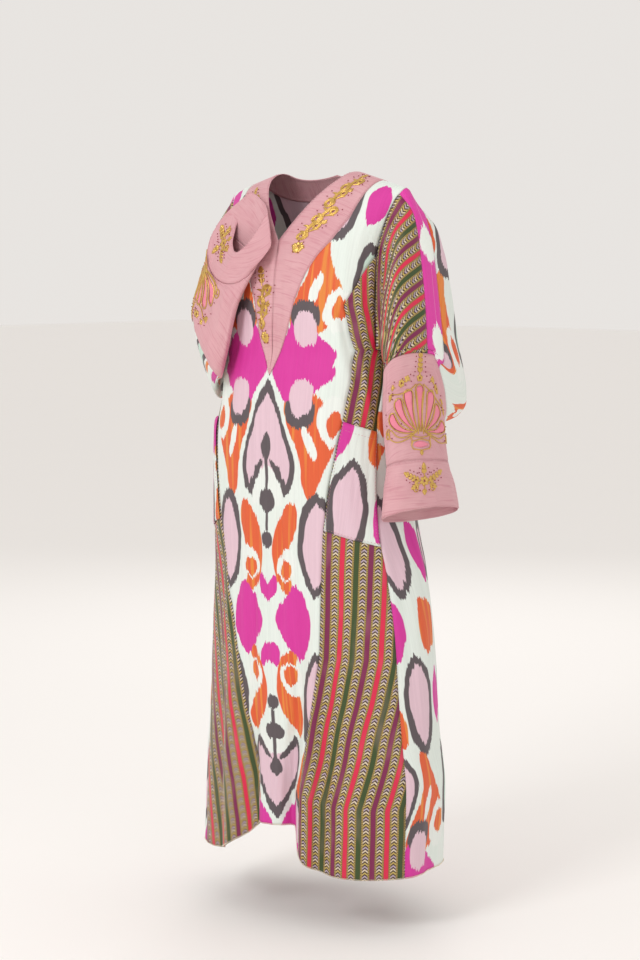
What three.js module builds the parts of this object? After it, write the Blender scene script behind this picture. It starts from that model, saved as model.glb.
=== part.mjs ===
// Long ikat dress with a V neckband, striped side gores, patch pockets and wide pieced sleeves.
// It is worn: the cloth keeps the hollow form it has on a body, left arm down, right hand at the neck.
// Millimetres, +Z up. The wearer faces -Y and the wearer's left is +X.
// The origin is the middle of the shoulder line, where the wearer holds the dress up.

import * as THREE from 'three';

// ---------- driving sizes ----------

const CLOTH = 2.0;                 // wall of every piece
const SEAM_GAP = 0.3;              // between two pieces at a seam
const POCKET_LIFT = 2.0;           // from the gore to the inside of a pocket

const HEM = -1370;                 // dress length below the shoulder line
const UNDERARM = -342;             // level where the sleeves leave the body
const V_TIP = -395;                // lowest point of the neckband
const V_BOTTOM = -149;             // lowest point of the neck opening
const NECK_RIDGE = 30;             // shoulder line carried on to the middle of the neck
const SHOULDER_FALL = 0.27;        // drop of the shoulder line for each mm outwards
const SHOULDER_ROUND = 2.5;        // how squarely the chest turns over into the shoulder

const NECK_HALF = 97;              // neck opening at the shoulder line, half
const BAND_HALF = 168;             // outer edge of the neckband at the shoulder line, half
const BACK_NECK = -27.4;           // back neck edge at the centre, below the shoulder line
const BACK_BAND = -68.4;           // lower edge of the band at the centre back

const HEM_RISE_FROM = -1000;       // the front hem starts to lift here

// ---------- tables ----------

// Level sections of the body: half widths to the wearer's left and right, depths, and fullness.
const SECTIONS = [
  { height: -1370, left: 280, right: 284, front: 168, back: 172, full: 2.0 },
  { height: -1200, left: 288, right: 278, front: 164, back: 174, full: 2.0 },
  { height: -1100, left: 276, right: 270, front: 160, back: 168, full: 2.0 },
  { height: -900, left: 262, right: 258, front: 154, back: 162, full: 2.05 },
  { height: -780, left: 242, right: 252, front: 150, back: 158, full: 2.1 },
  { height: -700, left: 219, right: 248, front: 150, back: 154, full: 2.2 },
  { height: -620, left: 209, right: 247, front: 150, back: 150, full: 2.2 },
  { height: -520, left: 207, right: 240, front: 153, back: 142, full: 2.25 },
  { height: -450, left: 206, right: 218, front: 152, back: 136, full: 2.3 },
  { height: -395, left: 206, right: 207, front: 149, back: 129, full: 2.35 },
  { height: -342, left: 205, right: 205, front: 140, back: 120, full: 2.4 },
];

// Half width across the armholes.
const ARMHOLE = [
  { height: -342, across: 195 },
  { height: -246, across: 191 },
  { height: -149, across: 191 },
  { height: -77, across: 203 },
  { height: -31, across: 215 },
  { height: 0, across: 224 },
];

// Outer edge of the neckband on the front.
const BAND_EDGE = [
  { height: -395, across: 0 },
  { height: -312, across: 38 },
  { height: -248, across: 55 },
  { height: -200, across: 75 },
  { height: -160, across: 98 },
  { height: -131, across: 120 },
  { height: -80, across: 148 },
  { height: -12, across: 165 },
  { height: 0, across: 168 },
];

// Edge of the neck opening on the front.
const NECK_EDGE = [
  { height: -149, across: 0 },
  { height: -85.5, across: 45 },
  { height: -17.4, across: 90 },
  { height: 0, across: 97 },
];

// Front edge of the side gores above the underarm, where they end in a point at the armhole.
const GORE_POINT = [
  { height: -342, across: 171 },
  { height: -315, across: 165 },
  { height: -280, across: 158 },
  { height: -253, across: 152 },
  { height: -222, across: 166 },
  { height: -149, across: 191 },
];

// Seams and the centre line below the underarm, in degrees from the wearer's left towards the front.
const SEAMS = [
  { height: -1370, leftBack: 10.5, leftFront: 62, centre: 79, rightFront: 98, rightBack: 155 },
  { height: -1231, leftBack: 11, leftFront: 62, centre: 79.5, rightFront: 102, rightBack: 157 },
  { height: -1108, leftBack: 11, leftFront: 57, centre: 82, rightFront: 109, rightBack: 160 },
  { height: -941, leftBack: 12.5, leftFront: 48.5, centre: 87.5, rightFront: 121, rightBack: 162 },
  { height: -811, leftBack: 14, leftFront: 47.5, centre: 91, rightFront: 133, rightBack: 164 },
  { height: -700, leftBack: 16, leftFront: 46.5, centre: 92, rightFront: 144, rightBack: 165 },
  { height: -592, leftBack: 16, leftFront: 42, centre: 92, rightFront: 148, rightBack: 166 },
  { height: -472, leftBack: 15, leftFront: 34.5, centre: 91.5, rightFront: 151, rightBack: 168 },
  { height: -395, leftBack: 11, leftFront: 30, centre: 90, rightFront: 152, rightBack: 171 },
  { height: -342, leftBack: 8, leftFront: 27.5, centre: 90, rightFront: 152.5, rightBack: 172 },
];

// Lift of the hem around the body: the front is held up by the hand at the neck.
const HEM_RISE = [
  { angle: 40, rise: 0 },
  { angle: 50, rise: 8 },
  { angle: 58, rise: 22 },
  { angle: 62, rise: 40 },
  { angle: 67, rise: 84 },
  { angle: 80, rise: 88 },
  { angle: 98, rise: 85 },
  { angle: 112, rise: 48 },
  { angle: 130, rise: 14 },
  { angle: 150, rise: 0 },
];

// Hanging folds of the skirt: angle at their top and at the hem, spread in degrees, depth (+ is out).
const FOLDS = [
  { name: 'left gore edge', top: -640, topAngle: 46, hemAngle: 60, spread: 6, depth: 16 },
  { name: 'beside left gore', top: -640, topAngle: 56, hemAngle: 69, spread: 7, depth: -34 },
  { name: 'left gore', top: -600, topAngle: 36, hemAngle: 48, spread: 6, depth: -15 },
  { name: 'left side', top: -760, topAngle: 22, hemAngle: 28, spread: 9, depth: 8 },
  { name: 'front right', top: -700, topAngle: 112, hemAngle: 103, spread: 7, depth: -20 },
  { name: 'right gore crest', top: -660, topAngle: 136, hemAngle: 122, spread: 9, depth: 12 },
  { name: 'right gore hollow', top: -620, topAngle: 150, hemAngle: 139, spread: 7, depth: -16 },
  { name: 'left back hollow', top: -820, topAngle: -6, hemAngle: -6, spread: 8, depth: -14 },
  { name: 'left back crest', top: -760, topAngle: -24, hemAngle: -26, spread: 10, depth: 12 },
  { name: 'back hollow one', top: -560, topAngle: -52, hemAngle: -47, spread: 8, depth: -20 },
  { name: 'back crest', top: -640, topAngle: -70, hemAngle: -68, spread: 9, depth: 14 },
  { name: 'back hollow two', top: -520, topAngle: -92, hemAngle: -94, spread: 10, depth: -22 },
  { name: 'right back crest', top: -700, topAngle: -116, hemAngle: -118, spread: 9, depth: 15 },
  { name: 'right back hollow', top: -620, topAngle: -136, hemAngle: -140, spread: 8, depth: -17 },
  { name: 'right side', top: -780, topAngle: -162, hemAngle: -166, spread: 9, depth: 9 },
];

// Sections of the left sleeve, each through its outer, front, inner and back point.
const LEFT_SLEEVE = {
  upper: [
    { name: 'shoulder', outer: [250, 1, -75], front: [230, -71, -208],
      inner: [212, 2, -352], back: [232, 88, -214] },
    { name: 'high', outer: [266, 0, -114], front: [240, -87, -236],
      inner: [215, 2, -366], back: [241, 98, -244] },
    { name: 'middle', outer: [277, 0, -176], front: [247, -94, -274],
      inner: [216, 4, -382], back: [247, 104, -286] },
    { name: 'low', outer: [289, 0, -270], front: [254, -97, -322],
      inner: [218, 4, -400], back: [256, 113, -366] },
    { name: 'wing', outer: [294, -1, -338], front: [257, -97, -356],
      inner: [219, 3, -412], back: [262, 134, -458] },
    { name: 'seam', outer: [295, -2, -350], front: [256, -96, -366],
      inner: [220, 2, -422], back: [262, 66, -486] },
  ],
  lower: [
    { name: 'forearm', outer: [292, -4, -445], front: [254, -92, -455],
      inner: [219, -2, -498], back: [259, 66, -516] },
    { name: 'wrist seam', outer: [299, -8, -550], front: [258, -86, -556],
      inner: [221, -8, -574], back: [262, 70, -566] },
  ],
  cuff: [
    { name: 'cuff', outer: [306, -10, -596], front: [259, -95, -606],
      inner: [221, -10, -626], back: [268, 81, -613] },
    { name: 'edge', outer: [312, -12, -640], front: [262, -104, -656],
      inner: [222, -12, -676], back: [272, 92, -662] },
  ],
};

// Sections of the right sleeve: the elbow is forward and the hand is at the neckband.
const RIGHT_SLEEVE = {
  upper: [
    { name: 'shoulder', outer: [-246, -8, -80], front: [-222, -76, -206],
      inner: [-209, -3, -348], back: [-232, 72, -214] },
    { name: 'high', outer: [-258, -16, -146], front: [-232, -82, -236],
      inner: [-212, -10, -352], back: [-242, 66, -262] },
    { name: 'middle', outer: [-266, -30, -216], front: [-238, -82, -258],
      inner: [-213, -22, -356], back: [-250, 52, -324] },
    { name: 'low', outer: [-264, -49, -266], front: [-238, -78, -268],
      inner: [-213, -40, -358], back: [-246, 18, -384] },
    { name: 'wing', outer: [-252, -72, -300], front: [-236, -76, -270],
      inner: [-211, -64, -362], back: [-241, -48, -446] },
    { name: 'seam', outer: [-258, -97, -271], front: [-208, -100, -312],
      inner: [-137, -141, -404], back: [-177, -160, -345] },
  ],
  lower: [
    { name: 'elbow', outer: [-240, -100, -215], front: [-188, -110, -272],
      inner: [-110, -150, -352], back: [-150, -164, -290] },
    { name: 'forearm', outer: [-208, -112, -170], front: [-158, -109, -206],
      inner: [-80, -151, -258], back: [-122, -168, -226] },
    { name: 'wrist seam', outer: [-185, -106, -104], front: [-120, -109, -131],
      inner: [-32, -148, -180], back: [-140, -154, -206] },
  ],
  cuff: [
    { name: 'cuff', outer: [-156, -95, -72], front: [-86, -114, -94],
      inner: [4, -148, -142], back: [-126, -150, -180] },
    { name: 'edge', outer: [-119, -80, -36], front: [-76, -92, -48],
      inner: [-21, -130, -72], back: [-92, -151, -152] },
  ],
};

// Pocket edges: heights of the mouth and of the bottom, at the front seam and at the back seam.
const POCKETS = {
  left: { mouthFront: -478, mouthBack: -500, bottomFront: -690, bottomBack: -722 },
  right: { mouthFront: -484, mouthBack: -500, bottomFront: -690, bottomBack: -716 },
};

// ---------- how finely the cloth is cut into faces ----------

const SKIRT_ROWS = 21;
const CHEST_ROWS = [-368, -342, -310, -278, -246, -213, -181, V_BOTTOM, -118, -88, -60, -35, -15, 0];
const BACK_ROWS = [-368, -342, -310, -278, -246, -213, -181, V_BOTTOM, -118, -88];
const BAND_TURNS = [90, 67.5, 45, 22.5, 0];        // stations of the band round the back neck
const FRONT_COLUMNS = 7;                           // from a gore to the centre
const BACK_COLUMNS = 7;                            // from an armhole to the centre back
const GORE_FRONT_COLUMNS = 3;
const GORE_SIDE_COLUMNS = 2;
const BACK_SIDE_COLUMNS = 3;
const BAND_COLUMNS = 3;
const UPPER_STEPS = 2;                             // rows between two sections of the upper sleeve
const LOWER_STEPS = 2;
const POCKET_CELLS = 8;
const LEAST_SPREAD = 0.03;                         // keeps the draw at a sharp point short
const FRONT_ARC = 145;                             // part of a sleeve's round that is its front
const UNDER_ARC = 70;

// ---------- colours ----------

const COLOURS = {
  ikat: { color: 0xe9dfe2, roughness: 0.72, metalness: 0 },
  stripes: { color: 0x8c5a4a, roughness: 0.5, metalness: 0 },
  magenta: { color: 0xd6309a, roughness: 0.6, metalness: 0 },
  rose: { color: 0xdba3ab, roughness: 0.78, metalness: 0 },
};

// ---------- small helpers ----------

const degrees = Math.PI / 180;

function smoothStep(low, high, value) {
  const t = Math.min(1, Math.max(0, (value - low) / (high - low)));
  return t * t * (3 - 2 * t);
}

function mix(from, to, t) {
  return from + (to - from) * t;
}

// A smooth curve through a table's column: cubic between rows, with each row's mean slope.
function follow(table, key, column, at) {
  const rows = table[0][key] < table[table.length - 1][key] ? table : [...table].reverse();
  const last = rows.length - 1;
  if (at <= rows[0][key]) return rows[0][column];
  if (at >= rows[last][key]) return rows[last][column];
  let i = 0;
  while (rows[i + 1][key] < at) i += 1;
  const step = (k) => (rows[k + 1][column] - rows[k][column]) / (rows[k + 1][key] - rows[k][key]);
  const slope = (k) => {
    if (k === 0 || k === last) return 0;
    const before = step(k - 1);
    const after = step(k);
    return before * after <= 0 ? 0 : 2 * before * after / (before + after);
  };
  const width = rows[i + 1][key] - rows[i][key];
  const t = (at - rows[i][key]) / width;
  const t2 = t * t;
  const t3 = t2 * t;
  return rows[i][column] * (2 * t3 - 3 * t2 + 1) + rows[i + 1][column] * (3 * t2 - 2 * t3)
    + width * (slope(i) * (t3 - 2 * t2 + t) + slope(i + 1) * (t3 - t2));
}

// A straight-sided line through a table's column, for seams with corners.
function along(table, column, height) {
  const rows = table[0].height < table[table.length - 1].height ? table : [...table].reverse();
  if (height <= rows[0].height) return rows[0][column];
  for (let i = 1; i < rows.length; i += 1) {
    if (height <= rows[i].height) {
      const t = (height - rows[i - 1].height) / (rows[i].height - rows[i - 1].height);
      return mix(rows[i - 1][column], rows[i][column], t);
    }
  }
  return rows[rows.length - 1][column];
}

// ---------- the form of the body ----------

function section(height) {
  const read = (column) => follow(SECTIONS, 'height', column, height);
  return {
    left: read('left'), right: read('right'), front: read('front'), back: read('back'), full: read('full'),
  };
}

function foldDepth(angle, height) {
  let depth = 0;
  for (const fold of FOLDS) {
    const down = smoothStep(fold.top, HEM, height);
    const centre = mix(fold.topAngle, fold.hemAngle, down);
    const turn = ((angle - centre + 540) % 360) - 180;
    depth += fold.depth * down * Math.exp(-((turn / fold.spread) ** 2));
  }
  return depth;
}

// A point of the body below the underarm, by its angle round the body and its height.
function skirtPoint(angle, height) {
  const form = section(height);
  const c = Math.cos(angle * degrees);
  const s = Math.sin(angle * degrees);
  const width = c >= 0 ? form.left : form.right;
  const depth = s >= 0 ? form.front : form.back;
  const bulge = (Math.abs(c) / width) ** form.full + (Math.abs(s) / depth) ** form.full;
  const reach = bulge ** (-1 / form.full) + foldDepth(angle, height);
  const lift = follow(HEM_RISE, 'angle', 'rise', ((angle % 360) + 360) % 360);
  const rise = lift * smoothStep(HEM_RISE_FROM, HEM, height);
  return new THREE.Vector3(reach * c, -reach * s, height + rise);
}

// The angle of the point that lies a given distance across, on the front (+1) or the back (-1).
function angleAcross(across, height, face) {
  const level = Math.min(height, UNDERARM);
  const form = section(level);
  const armhole = follow(ARMHOLE, 'height', 'across', Math.max(height, UNDERARM));
  const scale = height > UNDERARM ? ARMHOLE[0].across / armhole : 1;
  const x = Math.abs(across) * scale;
  const width = across >= 0 ? form.left : form.right;
  const depth = face > 0 ? form.front : form.back;
  const y = depth * (1 - (x / width) ** form.full) ** (1 / form.full);
  const angle = Math.atan2(y, x) / degrees;
  return face * (across >= 0 ? angle : 180 - angle);
}

// A point of the chest, shoulders or upper back. The height is that of the neck's shoulder line.
function chestPoint(angle, height) {
  const base = skirtPoint(angle, UNDERARM);
  const climb = (height - UNDERARM) / -UNDERARM;
  const armhole = follow(ARMHOLE, 'height', 'across', height);
  const x = base.x / ARMHOLE[0].across * armhole;
  const ridge = NECK_RIDGE - SHOULDER_FALL * Math.abs(x);
  const turn = Math.sqrt(Math.max(0, 1 - climb ** SHOULDER_ROUND));
  return new THREE.Vector3(x, base.y * turn, mix(UNDERARM, ridge, climb));
}

function bodyPoint(angle, height) {
  return height <= UNDERARM ? skirtPoint(angle, height) : chestPoint(angle, height);
}

// ---------- seams ----------

const side = { left: 1, right: -1 };

function goreFront(which, height) {
  if (height <= UNDERARM) return along(SEAMS, `${which}Front`, height);
  return angleAcross(side[which] * along(GORE_POINT, 'across', height), height, 1);
}

function goreBack(which, height) {
  return along(SEAMS, `${which}Back`, height);
}

function armholeAngle(which, height, face) {
  return angleAcross(side[which] * follow(ARMHOLE, 'height', 'across', height), height, face);
}

function centreAngle(height) {
  return height <= UNDERARM ? along(SEAMS, 'centre', height) : 90;
}

function bandEdge(which, height) {
  return angleAcross(side[which] * along(BAND_EDGE, 'across', height), height, 1);
}

// ---------- the net: all the cloth's faces, shared at the seams, each marked with its piece ----------

class Net {
  constructor() {
    this.points = [];
    this.seen = new Map();
    this.faces = [];
  }

  point(place) {
    const key = [place.x, place.y, place.z].map((v) => Math.round(v * 1000)).join(' ');
    if (!this.seen.has(key)) {
      this.seen.set(key, this.points.length);
      this.points.push(place.clone());
    }
    return this.seen.get(key);
  }

  face(piece, corners) {
    const ids = corners.map((corner) => this.point(corner));
    const ring = ids.filter((id, i) => id !== ids[(i + 1) % ids.length]);
    if (ring.length >= 3) this.faces.push({ piece, ring });
  }

  normals() {
    const sums = this.points.map(() => new THREE.Vector3());
    for (const { ring } of this.faces) {
      const [a, b, c] = ring.map((id) => this.points[id]);
      const d = this.points[ring[ring.length - 1]];
      const across = new THREE.Vector3().subVectors(c, a);
      const other = new THREE.Vector3().subVectors(d, b);
      if (ring.length === 3) {
        across.subVectors(b, a);
        other.subVectors(c, a);
      }
      const area = new THREE.Vector3().crossVectors(across, other);
      for (const id of ring) sums[id].add(area);
    }
    return sums.map((sum) => sum.normalize());
  }

  // One piece as a closed wall: its outer faces, its inner faces, and a strip along every edge.
  cut(piece) {
    const normals = this.normals();
    const rings = this.faces.filter((face) => face.piece === piece).map((face) => face.ring);
    const owned = new Set();
    for (const ring of rings) ring.forEach((id, i) => owned.add(`${id}>${ring[(i + 1) % ring.length]}`));
    const edges = [];
    for (const ring of rings) {
      ring.forEach((id, i) => {
        const next = ring[(i + 1) % ring.length];
        if (!owned.has(`${next}>${id}`)) edges.push([id, next]);
      });
    }
    const draw = this.seamAllowance(edges, normals);
    const places = [];
    const order = new Map();
    const place = (id, inner) => {
      const key = `${id}${inner ? 'i' : 'o'}`;
      if (!order.has(key)) {
        order.set(key, places.length / 3);
        const p = this.points[id].clone();
        if (draw.has(id)) p.add(draw.get(id));
        if (inner) p.addScaledVector(normals[id], -CLOTH);
        places.push(p.x, p.y, p.z);
      }
      return order.get(key);
    };
    const triangles = [];
    const add = (corners) => {
      for (let i = 2; i < corners.length; i += 1) triangles.push(corners[0], corners[i - 1], corners[i]);
    };
    for (const ring of rings) {
      add(ring.map((id) => place(id, false)));
      const back = ring.map((id) => place(id, true));
      for (let i = 2; i < back.length; i += 1) triangles.push(back[0], back[i], back[i - 1]);
    }
    // Both pieces at a seam split its strip along the same diagonal, so that the gap stays even.
    for (const [a, b] of edges) {
      const strip = [place(b, false), place(a, false), place(a, true), place(b, true)];
      add(a < b ? strip : [...strip.slice(1), strip[0]]);
    }
    const geometry = new THREE.BufferGeometry();
    geometry.setAttribute('position', new THREE.Float32BufferAttribute(places, 3));
    geometry.setIndex(triangles);
    geometry.computeVertexNormals();
    return geometry;
  }

  // How far each point of a piece's edge draws back into the piece, to leave the seam gap.
  seamAllowance(edges, normals) {
    const inwards = new Map();
    for (const [a, b] of edges) {
      const run = new THREE.Vector3().subVectors(this.points[b], this.points[a]);
      for (const id of [a, b]) {
        const into = new THREE.Vector3().crossVectors(normals[id], run).normalize();
        if (!inwards.has(id)) inwards.set(id, []);
        inwards.get(id).push(into);
      }
    }
    const draw = new Map();
    for (const [id, list] of inwards) {
      const sum = new THREE.Vector3();
      for (const into of list) sum.add(into);
      const length = sum.length();
      const spread = Math.max(LEAST_SPREAD, length * length / list.length);
      draw.set(id, sum.multiplyScalar(SEAM_GAP / 2 / spread));
    }
    return draw;
  }
}

// The angle part of the way between two edges: by angle round the skirt, by width over the chest.
function columnAngle(from, to, t, height) {
  if (height <= UNDERARM) return mix(from, to, t);
  const across = mix(bodyPoint(from, height).x, bodyPoint(to, height).x, t);
  const face = Math.sin((from + to) / 2 * degrees) > 0 ? 1 : -1;
  return angleAcross(across, height, face);
}

// Faces between two edges, from the lowest row to the highest. Columns run from the wearer's left
// towards the front and on round, and every row is a height.
function lane(net, piece, rows, from, to, columns) {
  const corner = (height, j) => {
    const angle = columnAngle(from(height), to(height), j / columns, height);
    return bodyPoint(angle, height);
  };
  for (let k = 1; k < rows.length; k += 1) {
    for (let j = 0; j < columns; j += 1) {
      net.face(piece, [
        corner(rows[k - 1], j), corner(rows[k], j), corner(rows[k], j + 1), corner(rows[k - 1], j + 1),
      ]);
    }
  }
}

// ---------- body pieces ----------

const skirtRows = [];
for (let k = 0; k <= SKIRT_ROWS; k += 1) skirtRows.push(mix(HEM, V_TIP, k / SKIRT_ROWS));
const frontRows = [...skirtRows, ...CHEST_ROWS];
const lowRows = frontRows.filter((height) => height <= UNDERARM);
const goreRows = frontRows.filter((height) => height <= V_BOTTOM);

function addFront(net) {
  const inner = (which) => (height) => (height <= V_TIP ? centreAngle(height) : bandEdge(which, height));
  const outer = (which) => (height) => (
    height <= V_BOTTOM ? goreFront(which, height) : armholeAngle(which, height, 1)
  );
  lane(net, 'front_panel', frontRows, outer('left'), inner('left'), FRONT_COLUMNS);
  lane(net, 'front_panel', frontRows, inner('right'), outer('right'), FRONT_COLUMNS);
}

function addGores(net) {
  // Below the underarm the line through the armhole's lowest point parts the gore in two lanes.
  const armLine = (which) => (height) => {
    if (height >= UNDERARM) return armholeAngle(which, height, 1);
    const at = (armholeAngle(which, UNDERARM, 1) - goreBack(which, UNDERARM))
      / (goreFront(which, UNDERARM) - goreBack(which, UNDERARM));
    return mix(goreBack(which, height), goreFront(which, height), at);
  };
  const front = (which) => (height) => goreFront(which, height);
  const back = (which) => (height) => goreBack(which, height);
  lane(net, 'side_gore_left', lowRows, back('left'), armLine('left'), GORE_SIDE_COLUMNS);
  lane(net, 'side_gore_left', goreRows, armLine('left'), front('left'), GORE_FRONT_COLUMNS);
  lane(net, 'side_gore_right', goreRows, front('right'), armLine('right'), GORE_FRONT_COLUMNS);
  lane(net, 'side_gore_right', lowRows, armLine('right'), back('right'), GORE_SIDE_COLUMNS);
}

function backArmLine(which) {
  return (height) => {
    const centre = which === 'left' ? -90 : 270;
    const turn = which === 'left' ? 0 : 360;
    if (height >= UNDERARM) return armholeAngle(which, height, -1) + turn;
    const at = (armholeAngle(which, UNDERARM, -1) + turn - goreBack(which, UNDERARM))
      / (centre - goreBack(which, UNDERARM));
    return mix(goreBack(which, height), centre, at);
  };
}

// The band's lower edge round the back neck, by its turn from the shoulder (0) to the centre (90).
function backBand(turn, half, drop) {
  return { across: half * Math.cos(turn * degrees), height: drop * Math.sin(turn * degrees) };
}

function backRowList() {
  const bandRows = BAND_TURNS.map((turn) => backBand(turn, BAND_HALF, BACK_BAND).height);
  return [...skirtRows, ...BACK_ROWS, ...bandRows];
}

function addBack(net) {
  const rows = backRowList();
  const bandInner = (which) => (height) => {
    if (height < BACK_BAND) return which === 'left' ? -90 : 270;
    const turn = Math.asin(height / BACK_BAND) / degrees;
    const across = side[which] * BAND_HALF * Math.cos(turn * degrees);
    return angleAcross(across, height, -1) + (which === 'left' ? 0 : 360);
  };
  const back = (which) => (height) => goreBack(which, height);
  lane(net, 'back_panel', rows, bandInner('left'), backArmLine('left'), BACK_COLUMNS);
  lane(net, 'back_panel', lowRows, backArmLine('left'), back('left'), BACK_SIDE_COLUMNS);
  lane(net, 'back_panel', lowRows, back('right'), backArmLine('right'), BACK_SIDE_COLUMNS);
  lane(net, 'back_panel', rows, backArmLine('right'), bandInner('right'), BACK_COLUMNS);
}

// Each half of the neckband runs from the point at the front, over the shoulder, to the centre back.
function addNeckband(net, which) {
  const piece = `neckband_${which}`;
  const rows = frontRows.filter((height) => height >= V_TIP);
  const frontSpot = (height, t) => {
    const neck = height < V_BOTTOM ? 0 : along(NECK_EDGE, 'across', height);
    const across = mix(along(BAND_EDGE, 'across', height), neck, t);
    return bodyPoint(angleAcross(side[which] * across, height, 1), height);
  };
  for (let k = 1; k < rows.length; k += 1) {
    for (let j = 0; j < BAND_COLUMNS; j += 1) {
      const [t, next] = [j / BAND_COLUMNS, (j + 1) / BAND_COLUMNS];
      const corners = [
        frontSpot(rows[k - 1], t), frontSpot(rows[k], t),
        frontSpot(rows[k], next), frontSpot(rows[k - 1], next),
      ];
      net.face(piece, which === 'left' ? corners : corners.reverse());
    }
  }
  const spot = (turn, t) => {
    const low = backBand(turn, BAND_HALF, BACK_BAND);
    const high = backBand(turn, NECK_HALF, BACK_NECK);
    const height = mix(low.height, high.height, t);
    return bodyPoint(angleAcross(side[which] * mix(low.across, high.across, t), height, -1), height);
  };
  for (let k = 1; k < BAND_TURNS.length; k += 1) {
    for (let j = 0; j < BAND_COLUMNS; j += 1) {
      const corners = [
        spot(BAND_TURNS[k - 1], j / BAND_COLUMNS), spot(BAND_TURNS[k - 1], (j + 1) / BAND_COLUMNS),
        spot(BAND_TURNS[k], (j + 1) / BAND_COLUMNS), spot(BAND_TURNS[k], j / BAND_COLUMNS),
      ];
      net.face(piece, which === 'left' ? corners : corners.reverse());
    }
  }
}

// ---------- sleeves ----------

// The armhole's points: from the shoulder down the front, under the arm, and up the back.
function armholeLoop(which) {
  const loop = [];
  const add = (angle, height, part) => loop.push({ place: bodyPoint(angle, height), part });
  const down = frontRows.filter((height) => height >= UNDERARM).reverse();
  for (const height of down) add(armholeAngle(which, height, 1), height, 'front');
  const under = (from, to, columns) => {
    for (let j = 1; j <= columns; j += 1) add(mix(from, to, j / columns), UNDERARM, 'under');
  };
  under(armholeAngle(which, UNDERARM, 1), goreBack(which, UNDERARM), GORE_SIDE_COLUMNS);
  under(goreBack(which, UNDERARM), backArmLine(which)(UNDERARM), BACK_SIDE_COLUMNS);
  const up = backRowList().filter((height) => height > UNDERARM && height < 0);
  for (const height of up) add(armholeAngle(which, height, -1), height, 'back');
  return loop;
}

// Gives every armhole point its turn round the sleeve, in degrees from the outer line.
function loopTurns(loop) {
  const arcs = { front: [0, FRONT_ARC], under: [FRONT_ARC, UNDER_ARC], back: [FRONT_ARC + UNDER_ARC, 0] };
  arcs.back[1] = 360 - arcs.back[0];
  const gaps = loop.map((spot, i) => spot.place.distanceTo(loop[(i + loop.length - 1) % loop.length].place));
  const lengths = { front: 0, under: 0, back: 0 };
  loop.forEach((spot, i) => {
    if (i > 0) lengths[spot.part] += gaps[i];
  });
  lengths.back += gaps[0];
  let turn = 0;
  return loop.map((spot, i) => {
    if (i > 0) turn += gaps[i] / lengths[spot.part] * arcs[spot.part][1];
    return turn;
  });
}

function sleevePoint(row, turn) {
  const [outer, front, inner, back] = ['outer', 'front', 'inner', 'back'].map(
    (name) => new THREE.Vector3(...row[name]));
  const middle = outer.clone().add(inner).multiplyScalar(0.5);
  const c = Math.cos(turn * degrees);
  const s = Math.sin(turn * degrees);
  const aside = (s >= 0 ? front : back).sub(middle);
  return middle.clone().addScaledVector(outer.sub(middle), c).addScaledVector(aside, Math.abs(s));
}

// Catmull-Rom between a column's section points.
function between(line, at) {
  const i = Math.min(Math.floor(at), line.length - 2);
  const t = at - i;
  const p = [i - 1, i, i + 1, i + 2].map((k) => line[Math.min(line.length - 1, Math.max(0, k))]);
  const weights = [
    (-t + 2 * t * t - t ** 3) / 2, (2 - 5 * t * t + 3 * t ** 3) / 2,
    (t + 4 * t * t - 3 * t ** 3) / 2, (t ** 3 - t * t) / 2,
  ];
  const place = new THREE.Vector3();
  weights.forEach((weight, k) => place.addScaledVector(p[k], weight));
  return place;
}

function addSleeve(net, which, form) {
  const loop = armholeLoop(which);
  const turns = loopTurns(loop);
  const sections = [...form.upper, ...form.lower, ...form.cuff];
  const columns = loop.map((spot, j) => [spot.place, ...sections.map((row) => sleevePoint(row, turns[j]))]);
  const goreEnd = loop.filter((spot) => spot.part === 'front').length - 1 + GORE_SIDE_COLUMNS;
  const upperEnd = form.upper.length;
  const lowerEnd = upperEnd + form.lower.length;
  const pieceAt = (station, j) => {
    if (station >= lowerEnd) return `cuff_${which}`;
    if (station >= upperEnd) return `lower_sleeve_${which}`;
    if (j === 0 || j === columns.length - 1) return `sleeve_strip_${which}`;
    return j < goreEnd ? `sleeve_gore_${which}` : `sleeve_back_${which}`;
  };
  for (let station = 0; station < sections.length; station += 1) {
    const steps = station < upperEnd ? UPPER_STEPS : LOWER_STEPS;
    for (let step = 0; step < steps; step += 1) {
      const from = station + step / steps;
      const to = station + (step + 1) / steps;
      for (let j = 0; j < columns.length; j += 1) {
        const next = (j + 1) % columns.length;
        const corners = [
          between(columns[j], from), between(columns[next], from),
          between(columns[next], to), between(columns[j], to),
        ];
        net.face(pieceAt(station, j), which === 'left' ? corners : corners.reverse());
      }
    }
  }
}

// ---------- pockets: the gore's own form, moved out ----------

function pocketGeometry(which) {
  const edges = POCKETS[which];
  const net = new Net();
  const spot = (u, v) => {
    const height = mix(
      mix(edges.bottomFront, edges.bottomBack, u), mix(edges.mouthFront, edges.mouthBack, u), v);
    const angle = mix(goreFront(which, height), goreBack(which, height), u);
    const place = bodyPoint(angle, height);
    const turn = new THREE.Vector3().subVectors(bodyPoint(angle + 1, height), bodyPoint(angle - 1, height));
    const rise = new THREE.Vector3().subVectors(bodyPoint(angle, height + 5), bodyPoint(angle, height - 5));
    return place.addScaledVector(rise.cross(turn).normalize(), POCKET_LIFT + CLOTH);
  };
  for (let k = 0; k < POCKET_CELLS; k += 1) {
    for (let j = 0; j < POCKET_CELLS; j += 1) {
      const corners = [[j, k], [j + 1, k], [j + 1, k + 1], [j, k + 1]].map(
        ([u, v]) => spot(u / POCKET_CELLS, v / POCKET_CELLS));
      net.face('pocket', which === 'left' ? corners : corners.reverse());
    }
  }
  return net.cut('pocket');
}

// ---------- the dress ----------

const dress = new THREE.Group();
dress.name = 'ikat_dress';

const materials = {};
for (const [name, finish] of Object.entries(COLOURS)) {
  materials[name] = new THREE.MeshStandardMaterial(finish);
}

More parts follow.
